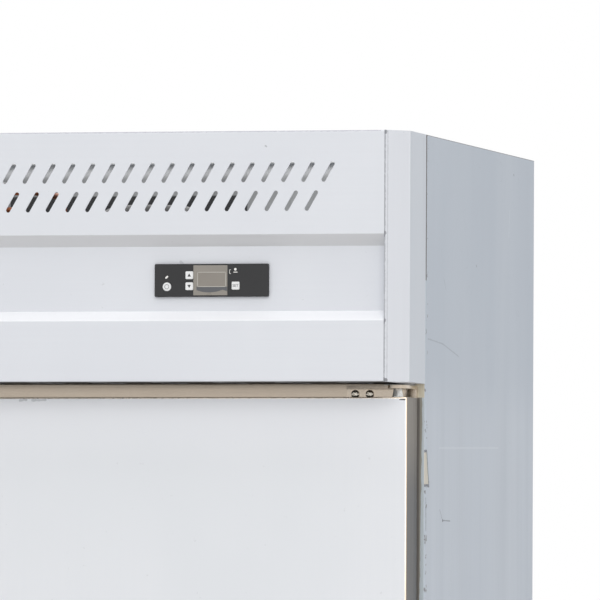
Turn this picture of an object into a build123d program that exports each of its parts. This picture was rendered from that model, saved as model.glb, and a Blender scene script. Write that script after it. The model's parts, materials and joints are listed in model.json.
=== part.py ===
from build123d import *
import math
import os

# Commercial upright freezer with four doors and a top-mounted condensing unit.
# Millimetres. +X to the right of someone facing the doors, +Y to the back, +Z up.
# The origin is on the floor, in the middle of the overall width and depth.

# Cabinet
cabinet_width = 1220
cabinet_height = 1950
side_depth = 620  # side panels, front edge to back edge
leg_height = 130
side_wall = 51.5  # foam wall between cabinet side and cavity
back_wall = 60
panel_gauge = 1.0  # outer sheets
side_flange = 13  # inward return along the side panels' front and back edges
panel_bend = 2.0  # outside radius of the side panels' front bend
liner_gauge = 1.0

# Header over the doors
header_height = 300
header_overhang = 115  # header front ahead of the side panels
header_gauge = 1.2
vent_height = 124  # flat upper panel with the slots
upper_bevel_height = 13.5
recess_height = 78
recess_depth = 15
lower_bevel_height = 11.5
top_return = 25
underside_lap = 22  # underside sheet's seat on top of the front frame
end_flange = 12  # fold at each end of the fascia
post_chamfer = 27  # depth of the corner posts' angled front
post_front_width = 25.5  # its width across the front
post_seam_flange = 20
post_side_flange = 16
seam_gap = 0.6  # fascia end to corner post
post_side_gap = 0.6  # corner post to side panel
post_bend = 2.0

# Vent slots
slot_length = 27
slot_width = 5
slot_slant = 30  # degrees from vertical, top to the right
slot_pitch = 24.65
slots_per_row = 42
upper_row_drop = 48.6  # header top to the row's centre
lower_row_drop = 84
underside_slot_length = 62
underside_slot_width = 6
underside_slot_pitch = 76.7
underside_slots = 15

# Front frame round the doorways
frame_depth = 20
frame_gauge = 1.0
mullion_depth = 50

# Doors
door_depth = 56
door_side_gap = 7.5
door_centre_gap = 8
door_top_gap = 17.5
door_bottom_gap = 20
door_row_gap = 12
door_gauge = 1.0
door_bend = 2.5
door_return = 12  # back return of the outer pan
gasket_depth = 12  # closed door's back face to the front frame
gasket_squeeze = 0.3
gasket_inset = 18
gasket_width = 20
gasket_bulb = 3.5
gasket_land = 6  # front frame showing inside the gasket
plug_clearance = 12  # liner plug to the doorway's edge
plug_reach = 10  # liner plug past the front frame's face
plug_draft = 20  # degrees

# Hinges
pin_radius = 4
pin_clearance = 0.1
pin_from_door_edge = 18
pin_from_door_front = 30
pin_engagement = 15
hinge_plate = 4
hinge_leg_length = 86.5
hinge_leg_end_gap = 2.5  # leg's end to the door's outer edge
hinge_leg_height = 17
hinge_nose = 12  # plate round the pin
top_arm_rise = 11  # above the door
bottom_arm_drop = 4  # below the door
bushing_clearance = 0.3
bushing_foot_radius = 7
bushing_top_radius = 5
bushing_bore_clearance = 0.05
screw_head_radius = 5
screw_head_height = 3
screw_shank_radius = 2.5
screw_hole_clearance = 0.2
screw_spacing = 18
first_screw_from_leg_end = 10.7
screw_edge_gap = 0.1  # head to the door or to the plate's fold

# Handles
handle_length = 220
handle_width = 20
handle_reach = 43
handle_bar = 13
handle_bend = 22
handle_edge_chamfer = 2.5
handle_from_door_edge = 30

# Controller in the header recess
controller_width = 140.5
controller_height = 39.5
controller_plate = 5
controller_from_right = 240  # plate's centre to the cabinet's right side
controller_drop = 1.8  # below the recess's middle
controller_box_width = 122
controller_box_height = 31
controller_box_depth = 42
controller_cutout_clearance = 0.5
controller_corner = 1.5
window_width = 42
window_height = 36
window_thickness = 1.6
window_seat = 1.0
window_offset = -1.1
button_gap = 0.25
button_proud = 1.0
button_travel = 0.8
button_length = 3.6
power_radius = 5.2
power_offset = (-54.8, -7.6)
arrow_size = 9.4
arrow_offset = -27.1
arrow_rise = 6.6  # each arrow key above or below their middle
arrow_drop = 0.5  # their middle below the plate's
set_size = 9.6
set_offset = (30.1, -6.6)
square_button_corner = 1.5

# Legs
leg_inset = 70
sleeve_radius = 21
sleeve_bore = 16.2
sleeve_length = 57
sleeve_plate = 3
sleeve_plate_size = 84
foot_clearance = 0.2
foot_gap = 0.3
foot_stem_length = 48
foot_sole_radius = 22
foot_waist_radius = 17
foot_sole_height = 8
foot_shoulder_height = 26

# Cavity fittings
standard_width = 16
standard_depth = 6
standard_clear = 8
standard_front = 90  # from the front frame's face
standard_back = 80  # from the wall behind
centre_post = 16
shelf_back_gap = 52  # room for the coil behind a shelf
shelf_start = 78
shelf_thickness = 8
shelf_border = 9
shelf_wire = 5
shelf_slots = 12
shelf_side_clearance = 2
shelf_levels = (520, 884, 1266)
clip_length = 14
clip_width = 14
clip_thickness = 3
coil_tube_radius = 5
coil_off_wall = 12
coil_runs = 8
coil_pitch = 150
coil_start = 330
coil_half_length = 480
coil_strip_width = 20
coil_strip_overrun = 30  # past the outer runs of the coil
coil_strip_clearance = 0.2
coil_strip_spread = 380
tube_sides = 8

# Condensing unit on the deck
unit_left = -255
unit_right = 330
unit_front = 60  # from the front frame's face
unit_depth = 370
unit_rail = 20
unit_gauge = 2
fins_left = -240
fins_width = 290
fins_depth = 66
fins_height = 232
fins_front = 15  # behind the unit base's front edge
fin_pitch = 7.25
fin_gap = 5.5
fin_tie = 4
end_plate = 2
end_plate_margin = 4
return_bends = 9
return_bend_pitch = 23
condenser_tube_radius = 4.5
fan_radius = 86
fan_tip_clearance = 5
fan_hub_radius = 22
fan_hub_length = 26
fan_blades = 5
fan_blade_chord = 52
fan_blade_thickness = 2
fan_root_pitch = 40
fan_tip_pitch = 24
shroud_gauge = 1.5
shroud_ring_depth = 42
shroud_gap = 0.3
strap_width = 24
motor_radius = 42
motor_length = 56
shaft_radius = 4
shaft_clearance = 0.1
fan_from_strap = 8
compressor_x = 205
compressor_back = 250  # centre, from the front frame's face
compressor_radius = 80
compressor_height = 196
compressor_dome = 42
compressor_seam = 4
compressor_feet_height = 12
compressor_foot_width = 190
compressor_foot_depth = 96
compressor_foot_plate = 3
compressor_foot_inset = 14
compressor_foot_radius = 9
terminal_width = 56
terminal_depth = 26
terminal_height = 74
discharge_radius = 4
suction_radius = 5
liquid_radius = 4
line_bend = 22
drier_radius = 11
drier_length = 96
drier_from_fins = 90
drier_from_front = 14
capillary_run = 50
capillary_rise = 60
discharge_riser = 114  # left of the compressor's centre
discharge_drop = 90
suction_step = 60
lines_from_unit = 40
line_gap = 0.3
electrical_from_right = 190  # box's middle to the cabinet's right side
electrical_back = 330
electrical_width = 150
electrical_depth = 80
electrical_height = 115
electrical_corner = 4
cover_depth = 18  # rear cover, forward from the back sheet
cover_lip = 18
gland_stand_out = 15  # cable gland behind the side panels' back edge
gland_radius = 12
gland_thread_radius = 8
gland_thread_clearance = 0.2
gland_thread_length = 16
gland_bore_radius = 5
gland_nut_radius = 13
gland_nut_thickness = 5
gland_height = 62  # above the deck

# Positions worked out from the sizes above
overall_depth = header_overhang + side_depth + gland_stand_out
frame_y = header_overhang - overall_depth / 2
header_y = frame_y - header_overhang
rear_y = frame_y + side_depth
half_width = cabinet_width / 2
base_z = leg_height
deck_z = cabinet_height - header_height
inner_half = half_width - panel_gauge
cavity_half = half_width - side_wall
cavity_back = rear_y - back_wall
back_sheet_y = rear_y - 2 * panel_gauge

door_lap = gasket_inset + gasket_width + gasket_land
door_outer_x = half_width - door_side_gap
door_inner_x = door_centre_gap / 2
upper_top = deck_z - door_top_gap
lower_bottom = base_z + door_bottom_gap
door_height = (upper_top - lower_bottom - door_row_gap) / 2
upper_bottom = upper_top - door_height
lower_top = lower_bottom + door_height
door_back_y = frame_y - gasket_depth
door_front_y = door_back_y - door_depth
doorway_outer_x = door_outer_x - door_lap
doorway_inner_x = door_inner_x + door_lap
doorway_top = upper_top - door_lap
doorway_bottom = lower_bottom + door_lap
cross_bottom = lower_top - door_lap
cross_top = upper_bottom + door_lap
pin_x = door_outer_x - pin_from_door_edge
pin_y = door_front_y + pin_from_door_front

recess_y = header_y + recess_depth
vent_bottom = cabinet_height - vent_height
recess_top = vent_bottom - upper_bevel_height
recess_bottom = recess_top - recess_height
visor_top = recess_bottom - lower_bevel_height
fascia_end = half_width - post_front_width
controller_x = half_width - controller_from_right
controller_z = (recess_top + recess_bottom) / 2 - controller_drop
electrical_x = half_width - electrical_from_right


def block(x0, x1, y0, y1, z0, z1):
    return Pos((x0 + x1) / 2, (y0 + y1) / 2, (z0 + z1) / 2) * Box(x1 - x0, y1 - y0, z1 - z0)


def rod(radius, start, end):
    # round bar between two points
    axis = Vector(*end) - Vector(*start)
    face = Plane(origin=start, z_dir=axis) * Circle(radius)
    return extrude(face, amount=axis.length, dir=axis)


def mirrored(shape):
    return mirror(shape, about=Plane.YZ)


def sheet_face(points, gauge, bends=(), radius=0):
    # flat pattern of a folded sheet: the given line thickened to its left by the gauge
    line = [Vector(*point) for point in points]
    runs = [(b - a).normalized() for a, b in zip(line, line[1:])]
    lefts = [Vector(-run.Y, run.X) for run in runs]
    other = [line[0] + lefts[0] * gauge]
    for corner, before, after in zip(line[1:-1], lefts, lefts[1:]):
        other.append(corner + (before + after) * (gauge / (1 + before.dot(after))))
    other.append(line[-1] + lefts[-1] * gauge)
    face = make_face(Polyline(*line, *reversed(other), close=True))
    for index in bends:
        near = [v for v in face.vertices() if (Vector(v.X, v.Y) - line[index]).length < 1e-3]
        face = fillet(near, radius)
    return face


def along_x(face, x0, x1):
    # a face drawn as (Y, Z), drawn out from x0 to x1
    return extrude(Pos(x0, 0, 0) * (Plane.YZ * face), amount=x1 - x0, dir=(1, 0, 0))


def along_z(face, z0, z1):
    return extrude(Pos(0, 0, z0) * face, amount=z1 - z0, dir=(0, 0, 1))


def backwards(face, x, y, z, depth):
    # a face drawn as (X, Z) about the point (x, y, z), drawn out towards the back
    return extrude(Pos(x, y, z) * (Plane.XZ * face), amount=depth, dir=(0, 1, 0))


def tube(points, radius, bend, sides=0):
    # bent tube along straight runs joined by arcs
    path = FilletPolyline(*points, radius=bend)
    section = RegularPolygon(radius, sides) if sides else Circle(radius)
    return sweep(Plane(origin=path @ 0, z_dir=path % 0) * section, path=path)


def each(*shapes):
    # separate solids that share one node
    return Compound(children=[solid for shape in shapes for solid in shape.solids()])


# Outer cabinet

def side_panel():
    front = frame_y
    line = [
        (half_width - side_flange, front),
        (half_width, front),
        (half_width, rear_y),
        (half_width - side_flange, rear_y),
    ]
    return along_z(sheet_face(line, panel_gauge, [1, 2], panel_bend), base_z, cabinet_height)


def back_panel():
    sheet = block(
        -inner_half, inner_half, back_sheet_y, back_sheet_y + panel_gauge, base_z, cabinet_height
    )
    hole_radius = gland_thread_radius + gland_thread_clearance
    hole = rod(
        hole_radius,
        (electrical_x, back_sheet_y - 1, deck_z + gland_height),
        (electrical_x, rear_y + 1, deck_z + gland_height),
    )
    return sheet - hole


def deck_plate():
    return block(
        -inner_half, inner_half, frame_y + frame_depth, back_sheet_y,
        deck_z - header_gauge, deck_z,
    )


def base_tray():
    return block(
        -inner_half, inner_half, frame_y + frame_depth, back_sheet_y,
        base_z, base_z + header_gauge,
    )


def foam_insulation():
    front = frame_y + frame_depth
    low = base_z + header_gauge
    high = deck_z - header_gauge
    skin_x = cavity_half + liner_gauge
    skin_y = cavity_back + liner_gauge
    side = block(skin_x, inner_half, front, back_sheet_y, low, high)
    back = block(-skin_x, skin_x, skin_y, back_sheet_y, low, high)
    floor = block(-skin_x, skin_x, front, skin_y, low, doorway_bottom - liner_gauge)
    ceiling = block(-skin_x, skin_x, front, skin_y, doorway_top + liner_gauge, high)
    return each(side, mirrored(side), back, floor, ceiling)


def inner_liner():
    front = frame_y + frame_depth
    skin = liner_gauge
    outer = block(
        -cavity_half - skin, cavity_half + skin, front, cavity_back + skin,
        doorway_bottom - skin, doorway_top + skin,
    )
    inner = block(
        -cavity_half, cavity_half, front - 1, cavity_back, doorway_bottom, doorway_top
    )
    return outer - inner


# Front frame

def front_frame():
    back = frame_y + frame_depth
    stile_line = [
        (doorway_outer_x, back),
        (doorway_outer_x, frame_y),
        (half_width - side_flange, frame_y),
        (half_width - side_flange, back),
    ]
    stile = along_z(sheet_face(stile_line, frame_gauge), base_z, deck_z)

    def rail(low, high):
        line = [(back, low), (frame_y, low), (frame_y, high), (back, high)]
        face = sheet_face(line[::-1], frame_gauge)
        return along_x(face, -doorway_outer_x, doorway_outer_x)

    top_rail = rail(doorway_top, deck_z)
    bottom_rail = rail(base_z, doorway_bottom)
    return each(stile, mirrored(stile), top_rail, bottom_rail)


def box_tube(x0, x1, z0, z1, through):
    # rectangular sheet-metal tube, open at the ends given by its direction
    skin = frame_gauge
    outer = block(x0, x1, frame_y, frame_y + mullion_depth, z0, z1)
    over = 1
    if through == "z":
        inner = block(
            x0 + skin, x1 - skin, frame_y + skin, frame_y + mullion_depth - skin,
            z0 - over, z1 + over,
        )
    else:
        inner = block(
            x0 - over, x1 + over, frame_y + skin, frame_y + mullion_depth - skin,
            z0 + skin, z1 - skin,
        )
    return outer - inner


def centre_mullion():
    return box_tube(-doorway_inner_x, doorway_inner_x, doorway_bottom, doorway_top, "z")


def cross_rails():
    rail = box_tube(doorway_inner_x, doorway_outer_x, cross_bottom, cross_top, "x")
    return each(rail, mirrored(rail))


# Header

def fascia_line():
    # front line of the fascia as (Y, Z), from the underside up to the top
    return [
        (header_y, deck_z),
        (header_y, visor_top),
        (recess_y, recess_bottom),
        (recess_y, recess_top),
        (header_y, vent_bottom),
        (header_y, cabinet_height),
    ]


def vent_slots():
    # slanted slots with clipped ends, in two rows set along the slant
    half_length = slot_length / 2
    half_slot = slot_width / 2
    nip = slot_width / 4
    corners = [
        (-half_length, -half_slot + nip), (-half_length + nip, -half_slot),
        (half_length - nip, -half_slot), (half_length, -half_slot + nip),
        (half_length, half_slot - nip), (half_length - nip, half_slot),
        (-half_length + nip, half_slot), (-half_length, half_slot - nip),
    ]
    outline = make_face(Polyline(*corners, close=True))
    slanted = Rot(0, 0, 90 - slot_slant) * outline
    row_shift = (lower_row_drop - upper_row_drop) * math.tan(math.radians(slot_slant)) / 2
    tools = []
    for drop, shift in ((upper_row_drop, row_shift), (lower_row_drop, -row_shift)):
        for index in range(slots_per_row):
            x = (index - (slots_per_row - 1) / 2) * slot_pitch + shift
            z = cabinet_height - drop
            tools.append(backwards(slanted, x, header_y - 1, z, header_gauge + 2))
    return tools


def underside_slot_tools():
    outline = Rot(0, 0, 90 - slot_slant) * Rectangle(underside_slot_length, underside_slot_width)
    middle_y = (header_y + frame_y) / 2
    tools = []
    for index in range(underside_slots):
        x = (index - (underside_slots - 1) / 2) * underside_slot_pitch
        face = Pos(x, middle_y, deck_z - 1) * outline
        tools.append(extrude(face, amount=header_gauge + 2, dir=(0, 0, 1)))
    return tools


def header_fascia():
    underside = (frame_y + underside_lap, deck_z)
    top_back = (header_y + top_return, cabinet_height)
    line = [underside, *fascia_line(), top_back]
    end_x = fascia_end - seam_gap
    sheet = along_x(sheet_face(line[::-1], header_gauge), -end_x, end_x)
    flange = along_x(sheet_face(fascia_line()[::-1], end_flange), end_x - header_gauge, end_x)
    box_width = controller_box_width + 2 * controller_cutout_clearance
    box_height = controller_box_height + 2 * controller_cutout_clearance
    cutout = Pos(controller_x, recess_y, controller_z) * Box(box_width, 4 * header_gauge, box_height)
    return (sheet + flange + mirrored(flange)) - vent_slots() - underside_slot_tools() - cutout


def corner_post():
    side_back = frame_y - post_side_gap
    line = [
        (half_width - post_side_flange, side_back),
        (half_width, side_back),
        (half_width, header_y + post_chamfer),
        (fascia_end, header_y),
        (fascia_end, header_y + post_seam_flange),
    ]
    face = sheet_face(line[::-1], header_gauge, [2, 3], post_bend)
    wall = along_z(face, deck_z, cabinet_height)
    cap_line = [
        (half_width - post_side_flange, side_back - header_gauge),
        (half_width - header_gauge, side_back - header_gauge),
        (half_width - header_gauge, header_y + post_chamfer),
        (fascia_end + header_gauge, header_y + 2 * header_gauge),
        (fascia_end + header_gauge, header_y + post_seam_flange),
    ]
    cap = along_z(make_face(Polyline(*cap_line, close=True)), deck_z, deck_z + header_gauge)
    lid = Pos(0, 0, header_height - header_gauge) * cap
    return wall + cap + lid


def top_cover():
    front = back_sheet_y - cover_depth
    line = [
        (front, cabinet_height - cover_lip),
        (front, cabinet_height),
        (back_sheet_y, cabinet_height),
    ]
    face = sheet_face(line[::-1], header_gauge)
    return along_x(face, -inner_half, inner_half)


# Controller

def controller_pocket_depth():
    return button_length - button_proud + button_travel + button_gap


def button_face(name, grow=0):
    if name == "power_button":
        return Circle(power_radius + grow)
    size = (set_size if name == "set_button" else arrow_size) + 2 * grow
    return RectangleRounded(size, size, square_button_corner + grow)


def button_place(name):
    places = {
        "power_button": power_offset,
        "set_button": set_offset,
        "up_button": (arrow_offset, arrow_rise - arrow_drop),
        "down_button": (arrow_offset, -arrow_rise - arrow_drop),
    }
    x, z = places[name]
    return controller_x + x, controller_z + z


button_names = ("power_button", "up_button", "down_button", "set_button")
plate_front_y = recess_y - controller_plate


def pocket(name, start, depth, grow=0):
    x, z = button_place(name)
    return backwards(button_face(name, grow), x, start, z, depth)


def window_block(start, depth):
    face = Rectangle(window_width, window_height)
    return backwards(face, controller_x + window_offset, start, controller_z, depth)


def controller_housing():
    outline = RectangleRounded(controller_width, controller_height, controller_corner)
    plate = backwards(outline, controller_x, plate_front_y, controller_z, controller_plate)
    plate = chamfer(plate.faces().sort_by(Axis.Y)[0].edges(), 0.8)
    box = block(
        controller_x - controller_box_width / 2, controller_x + controller_box_width / 2,
        recess_y, recess_y + controller_box_depth,
        controller_z - controller_box_height / 2, controller_z + controller_box_height / 2,
    )
    housing = plate + box
    for name in button_names:
        housing -= pocket(name, plate_front_y, controller_pocket_depth(), button_gap)
    return housing - window_block(plate_front_y, window_seat)


def button(name):
    return pocket(name, plate_front_y - button_proud, button_length)


def display_window():
    return window_block(plate_front_y + window_seat - window_thickness, window_thickness)


# Hinges

def hinge_leg(z0, z1):
    end_x = door_outer_x - hinge_leg_end_gap
    return block(end_x - hinge_leg_length, end_x, frame_y - hinge_plate, frame_y, z0, z1)


def screw_positions(z):
    first = door_outer_x - hinge_leg_end_gap - hinge_leg_length + first_screw_from_leg_end
    return [(first, z), (first + screw_spacing, z)]


def hinge_arm(z0, z1):
    # plate that narrows from the leg to a round nose over the pin
    end_x = door_outer_x - hinge_leg_end_gap
    outline = Polyline(
        (end_x - hinge_leg_length, frame_y),
        (end_x - hinge_leg_length, frame_y - hinge_plate),
        (pin_x - hinge_nose, pin_y),
        (pin_x + hinge_nose, pin_y),
        (end_x, frame_y),
        close=True,
    )
    flat = make_face(outline) + Pos(pin_x, pin_y) * Circle(hinge_nose)
    return along_z(flat, z0, z1)


def pin(z0, z1):
    return rod(pin_radius, (pin_x, pin_y, z0), (pin_x, pin_y, z1))


def drilled(plate, z):
    for x, height in screw_positions(z):
        plate -= rod(
            screw_shank_radius + screw_hole_clearance,
            (x, frame_y - 2 * hinge_plate, height), (x, frame_y, height),
        )
    return plate


top_arm_z = upper_top + top_arm_rise
middle_arm_z = (lower_top + upper_bottom) / 2 - hinge_plate / 2
bottom_arm_z = lower_bottom - bottom_arm_drop - hinge_plate
top_screw_z = upper_top + screw_head_radius + screw_edge_gap
middle_screw_z = middle_arm_z - screw_head_radius - screw_edge_gap
bottom_screw_z = bottom_arm_z - screw_head_radius - screw_edge_gap


def hinge_plates():
    top_z = top_arm_z + hinge_plate
    top = hinge_arm(top_arm_z, top_z) + hinge_leg(top_z - hinge_leg_height, top_z)
    top += pin(upper_top - pin_engagement, top_arm_z)
    middle_z = middle_arm_z + hinge_plate
    middle = hinge_arm(middle_arm_z, middle_z) + hinge_leg(middle_z - hinge_leg_height, middle_z)
    middle += pin(lower_top - pin_engagement, upper_bottom + pin_engagement)
    bottom_z = bottom_arm_z + hinge_plate
    low_leg = base_z + 1
    bottom = hinge_arm(bottom_arm_z, bottom_z) + hinge_leg(low_leg, bottom_z)
    bottom += pin(bottom_arm_z, lower_bottom + pin_engagement)
    plates = [
        drilled(top, top_screw_z),
        drilled(middle, middle_screw_z),
        drilled(bottom, bottom_screw_z),
    ]
    return each(*plates, *[mirrored(plate) for plate in plates])


def bushing(z0, z1, r0, r1):
    # tapered nylon bushing round a hinge pin
    bore = pin_radius + bushing_bore_clearance
    outline = Polyline((bore, z0), (r0, z0), (r1, z1), (bore, z1), close=True)
    ring = revolve(Plane.XZ * make_face(outline), Axis.Z)
    return Pos(pin_x, pin_y, 0) * ring


def hinge_bushings():
    foot = bushing_foot_radius
    top = bushing_top_radius
    rings = [
        bushing(upper_top + bushing_clearance, top_arm_z, foot, top),
        bushing(middle_arm_z + hinge_plate, upper_bottom - bushing_clearance, foot, foot),
        bushing(lower_top + bushing_clearance, middle_arm_z, foot, foot),
        bushing(bottom_arm_z + hinge_plate, lower_bottom - bushing_clearance, foot, foot),
    ]
    return each(*rings, *[mirrored(ring) for ring in rings])


def screw(x, z):
    face_y = frame_y - hinge_plate
    head = rod(screw_head_radius, (x, face_y - screw_head_height, z), (x, face_y, z))
    shank = rod(screw_shank_radius, (x, face_y, z), (x, frame_y, z))
    return head + shank


def hinge_screws():
    screws = []
    for height in (top_screw_z, middle_screw_z, bottom_screw_z):
        screws += [screw(x, z) for x, z in screw_positions(height)]
    return each(*screws, *[mirrored(one) for one in screws])


# Doors, built as right-hand ones

def pan_block(bottom, inset, back_inset):
    shape = block(
        door_inner_x + inset, door_outer_x - inset, door_front_y + inset,
        door_back_y - back_inset, bottom + inset, bottom + door_height - inset,
    )
    front_edges = shape.faces().sort_by(Axis.Y)[0].edges()
    return fillet(front_edges, door_bend - inset)


def pin_bores(bottom, radius):
    shapes = []
    for z0, z1 in (
        (bottom - 1, bottom + pin_engagement + 1),
        (bottom + door_height - pin_engagement - 1, bottom + door_height + 1),
    ):
        shapes.append(rod(radius, (pin_x, pin_y, z0), (pin_x, pin_y, z1)))
    return shapes


def door_panel(bottom):
    top = bottom + door_height
    inside = pan_block(bottom, door_gauge, door_gauge)
    window = block(
        door_inner_x + door_return, door_outer_x - door_return,
        door_back_y - 2 * door_gauge, door_back_y + 1, bottom + door_return, top - door_return,
    )
    bores = pin_bores(bottom, pin_radius + pin_clearance)
    return pan_block(bottom, 0, 0) - inside - window - bores


def door_liner(bottom):
    # foamed core with the moulded inner skin, whose plug reaches into the doorway
    top = bottom + door_height
    core = pan_block(bottom, door_gauge, door_gauge)
    back = block(
        door_inner_x + door_return, door_outer_x - door_return,
        door_back_y - door_gauge, door_back_y, bottom + door_return, top - door_return,
    )
    inset = door_lap + plug_clearance
    plug_face = Rectangle(
        door_outer_x - door_inner_x - 2 * inset, door_height - 2 * inset
    )
    middle = ((door_outer_x + door_inner_x) / 2, door_back_y, (bottom + top) / 2)
    outward = Plane(origin=middle, x_dir=(-1, 0, 0), z_dir=(0, 1, 0))
    plug = extrude(outward * plug_face, amount=gasket_depth + plug_reach, taper=plug_draft)
    return (core + back + plug) - pin_bores(bottom, pin_radius + pin_clearance)


def door_gasket(bottom):
    top = bottom + door_height
    back = frame_y - gasket_squeeze
    inner = gasket_inset + gasket_width
    ring = block(
        door_inner_x + gasket_inset, door_outer_x - gasket_inset, door_back_y, back,
        bottom + gasket_inset, top - gasket_inset,
    ) - block(
        door_inner_x + inner, door_outer_x - inner, door_back_y - 1, back + 1,
        bottom + inner, top - inner,
    )
    return chamfer(ring.faces().sort_by(Axis.Y)[-1].edges(), gasket_bulb)


def door_handle(bottom):
    middle = bottom + door_height / 2
    low = middle - handle_length / 2
    high = middle + handle_length / 2
    out_y = door_front_y - handle_reach
    bar_y = out_y + handle_bar
    foot = handle_bar + 5
    outer = FilletPolyline(
        (door_front_y, low), (out_y, low + foot), (out_y, high - foot), (door_front_y, high),
        radius=handle_bend,
    )
    inner = FilletPolyline(
        (door_front_y, high - 2 * foot), (bar_y, high - 2 * foot),
        (bar_y, low + 2 * foot), (door_front_y, low + 2 * foot),
        radius=handle_bend / 2,
    )
    ends = [Line(outer @ 1, inner @ 0), Line(inner @ 1, outer @ 0)]
    face = make_face(Curve() + [outer, inner, *ends])
    left = door_inner_x + handle_from_door_edge
    bar = along_x(face, left, left + handle_width)
    sides = bar.faces().filter_by(Axis.X)
    long_edges = [
        edge for side in sides for edge in side.edges()
        if abs(edge.center().Y - door_front_y) > 1e-3
    ]
    return chamfer(long_edges, handle_edge_chamfer)


# Legs

sleeve_top = base_z - sleeve_plate
sleeve_bottom = sleeve_top - sleeve_length
leg_x = half_width - leg_inset
leg_ys = {"front": frame_y + leg_inset, "back": rear_y - leg_inset}


def leg_sleeve(x, y):
    plate = block(
        x - sleeve_plate_size / 2, x + sleeve_plate_size / 2,
        y - sleeve_plate_size / 2, y + sleeve_plate_size / 2, sleeve_top, base_z,
    )
    wall = rod(sleeve_radius, (x, y, sleeve_bottom), (x, y, sleeve_top))
    return plate + wall - rod(sleeve_bore, (x, y, sleeve_bottom - 1), (x, y, sleeve_top))


def leg_sleeves():
    return each(*[leg_sleeve(x, y) for x in (-leg_x, leg_x) for y in leg_ys.values()])


def foot(x, y):
    # adjustable foot: stem in the sleeve, shoulder under it and a round sole
    shoulder = sleeve_bottom - foot_gap
    stem = sleeve_bore - foot_clearance
    outline = Polyline(
        (0, 0), (foot_sole_radius - 2, 0), (foot_sole_radius, 2),
        (foot_sole_radius, foot_sole_height), (foot_waist_radius, foot_sole_height + 6),
        (sleeve_radius, foot_shoulder_height), (sleeve_radius, shoulder),
        (stem, shoulder), (stem, shoulder + foot_stem_length), (0, shoulder + foot_stem_length),
        close=True,
    )
    return Pos(x, y, 0) * revolve(Plane.XZ * make_face(outline), Axis.Z)


# Cavity fittings

def side_standard(y):
    return block(
        cavity_half - standard_depth, cavity_half, y, y + standard_width,
        doorway_bottom + standard_clear, doorway_top - standard_clear,
    )


def centre_standard(y):
    return block(-centre_post / 2, centre_post / 2, y, y + centre_post, doorway_bottom, doorway_top)


post_front_y = frame_y + mullion_depth
shelf_back_y = cavity_back - shelf_back_gap
post_back_y = shelf_back_y + shelf_side_clearance


def shelf_clips(level):
    z0 = level - clip_thickness
    clips = []
    for post_y in (frame_y + standard_front, cavity_back - standard_back):
        y = post_y + (standard_width - clip_width) / 2
        side_x = cavity_half - standard_depth
        clips.append(block(side_x - clip_length, side_x, y, y + clip_width, z0, level))
    return clips


def shelf_standards():
    posts = [centre_standard(post_front_y), centre_standard(post_back_y)]
    sides = [side_standard(frame_y + standard_front), side_standard(cavity_back - standard_back)]
    pieces = posts + sides + [mirrored(side) for side in sides]
    for level in shelf_levels:
        clips = shelf_clips(level)
        pieces += clips + [mirrored(clip) for clip in clips]
        for y0, y1 in (
            (post_front_y + centre_post, post_front_y + centre_post + clip_width),
            (post_back_y - clip_width, post_back_y),
        ):
            reach = centre_post / 2 + clip_length
            pieces.append(block(-reach, reach, y0, y1, level - clip_thickness, level))
    return each(*pieces)


def shelf(level):
    # wire shelf: a border and one row of gaps between the wires
    x0 = centre_post / 2 + shelf_side_clearance
    x1 = cavity_half - standard_depth - shelf_side_clearance
    y0 = frame_y + shelf_start
    y1 = shelf_back_y
    plate = block(x0, x1, y0, y1, level, level + shelf_thickness)
    pitch = (x1 - x0 - 2 * shelf_border + shelf_wire) / shelf_slots
    holes = []
    for index in range(shelf_slots):
        left = x0 + shelf_border + index * pitch
        holes.append(
            block(
                left, left + pitch - shelf_wire, y0 + shelf_border, y1 - shelf_border,
                level - 1, level + shelf_thickness + 1,
            )
        )
    return plate - holes


def shelf_pair(level):
    one = shelf(level)
    return each(one, mirrored(one))


def evaporator_coil():
    y = cavity_back - coil_off_wall
    points = []
    for run in range(coil_runs):
        z = coil_start + run * coil_pitch
        ends = [(-coil_half_length, y, z), (coil_half_length, y, z)]
        points += ends if run % 2 == 0 else ends[::-1]
    coil = tube(points, coil_tube_radius, coil_pitch * 0.45, tube_sides)
    strips = []
    top = coil_start + (coil_runs - 1) * coil_pitch + coil_strip_overrun
    front = y + coil_tube_radius + coil_strip_clearance
    for x in (-coil_strip_spread, 0, coil_strip_spread):
        strips.append(
            block(
                x - coil_strip_width / 2, x + coil_strip_width / 2, front, cavity_back,
                coil_start - coil_strip_overrun, top,
            )
        )
    return each(coil, *strips)


# Condensing unit

unit_y = frame_y + unit_front
unit_top = deck_z + unit_rail
fins_y = unit_y + fins_front
fins_right = fins_left + fins_width
fins_top = unit_top + fins_height
first_row_z = unit_top + (fins_height - return_bends * return_bend_pitch) / 2
last_row_z = first_row_z + return_bends * return_bend_pitch
fan_x = fins_left + fins_width / 2
fan_z = unit_top + fins_height / 2
shroud_y = fins_y + fins_depth + end_plate
strap_y = shroud_y + shroud_ring_depth
fan_back_y = strap_y - fan_from_strap
compressor_y = frame_y + compressor_back
compressor_base = unit_top + compressor_feet_height


def unit_base():
    line = [
        (unit_y, deck_z), (unit_y, unit_top),
        (unit_y + unit_depth, unit_top), (unit_y + unit_depth, deck_z),
    ]
    return along_x(sheet_face(line[::-1], unit_gauge), unit_left, unit_right)


def condenser_fins():
    # plates with air gaps between them, tied along the top and bottom
    pack = block(fins_left, fins_right, fins_y, fins_y + fins_depth, unit_top, fins_top)
    gaps = []
    for index in range(1, round(fins_width / fin_pitch)):
        x = fins_left + index * fin_pitch
        gaps.append(
            block(
                x - fin_gap / 2, x + fin_gap / 2, fins_y - 1, fins_y + fins_depth + 1,
                unit_top + fin_tie, fins_top - fin_tie,
            )
        )
    return pack - gaps


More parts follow.
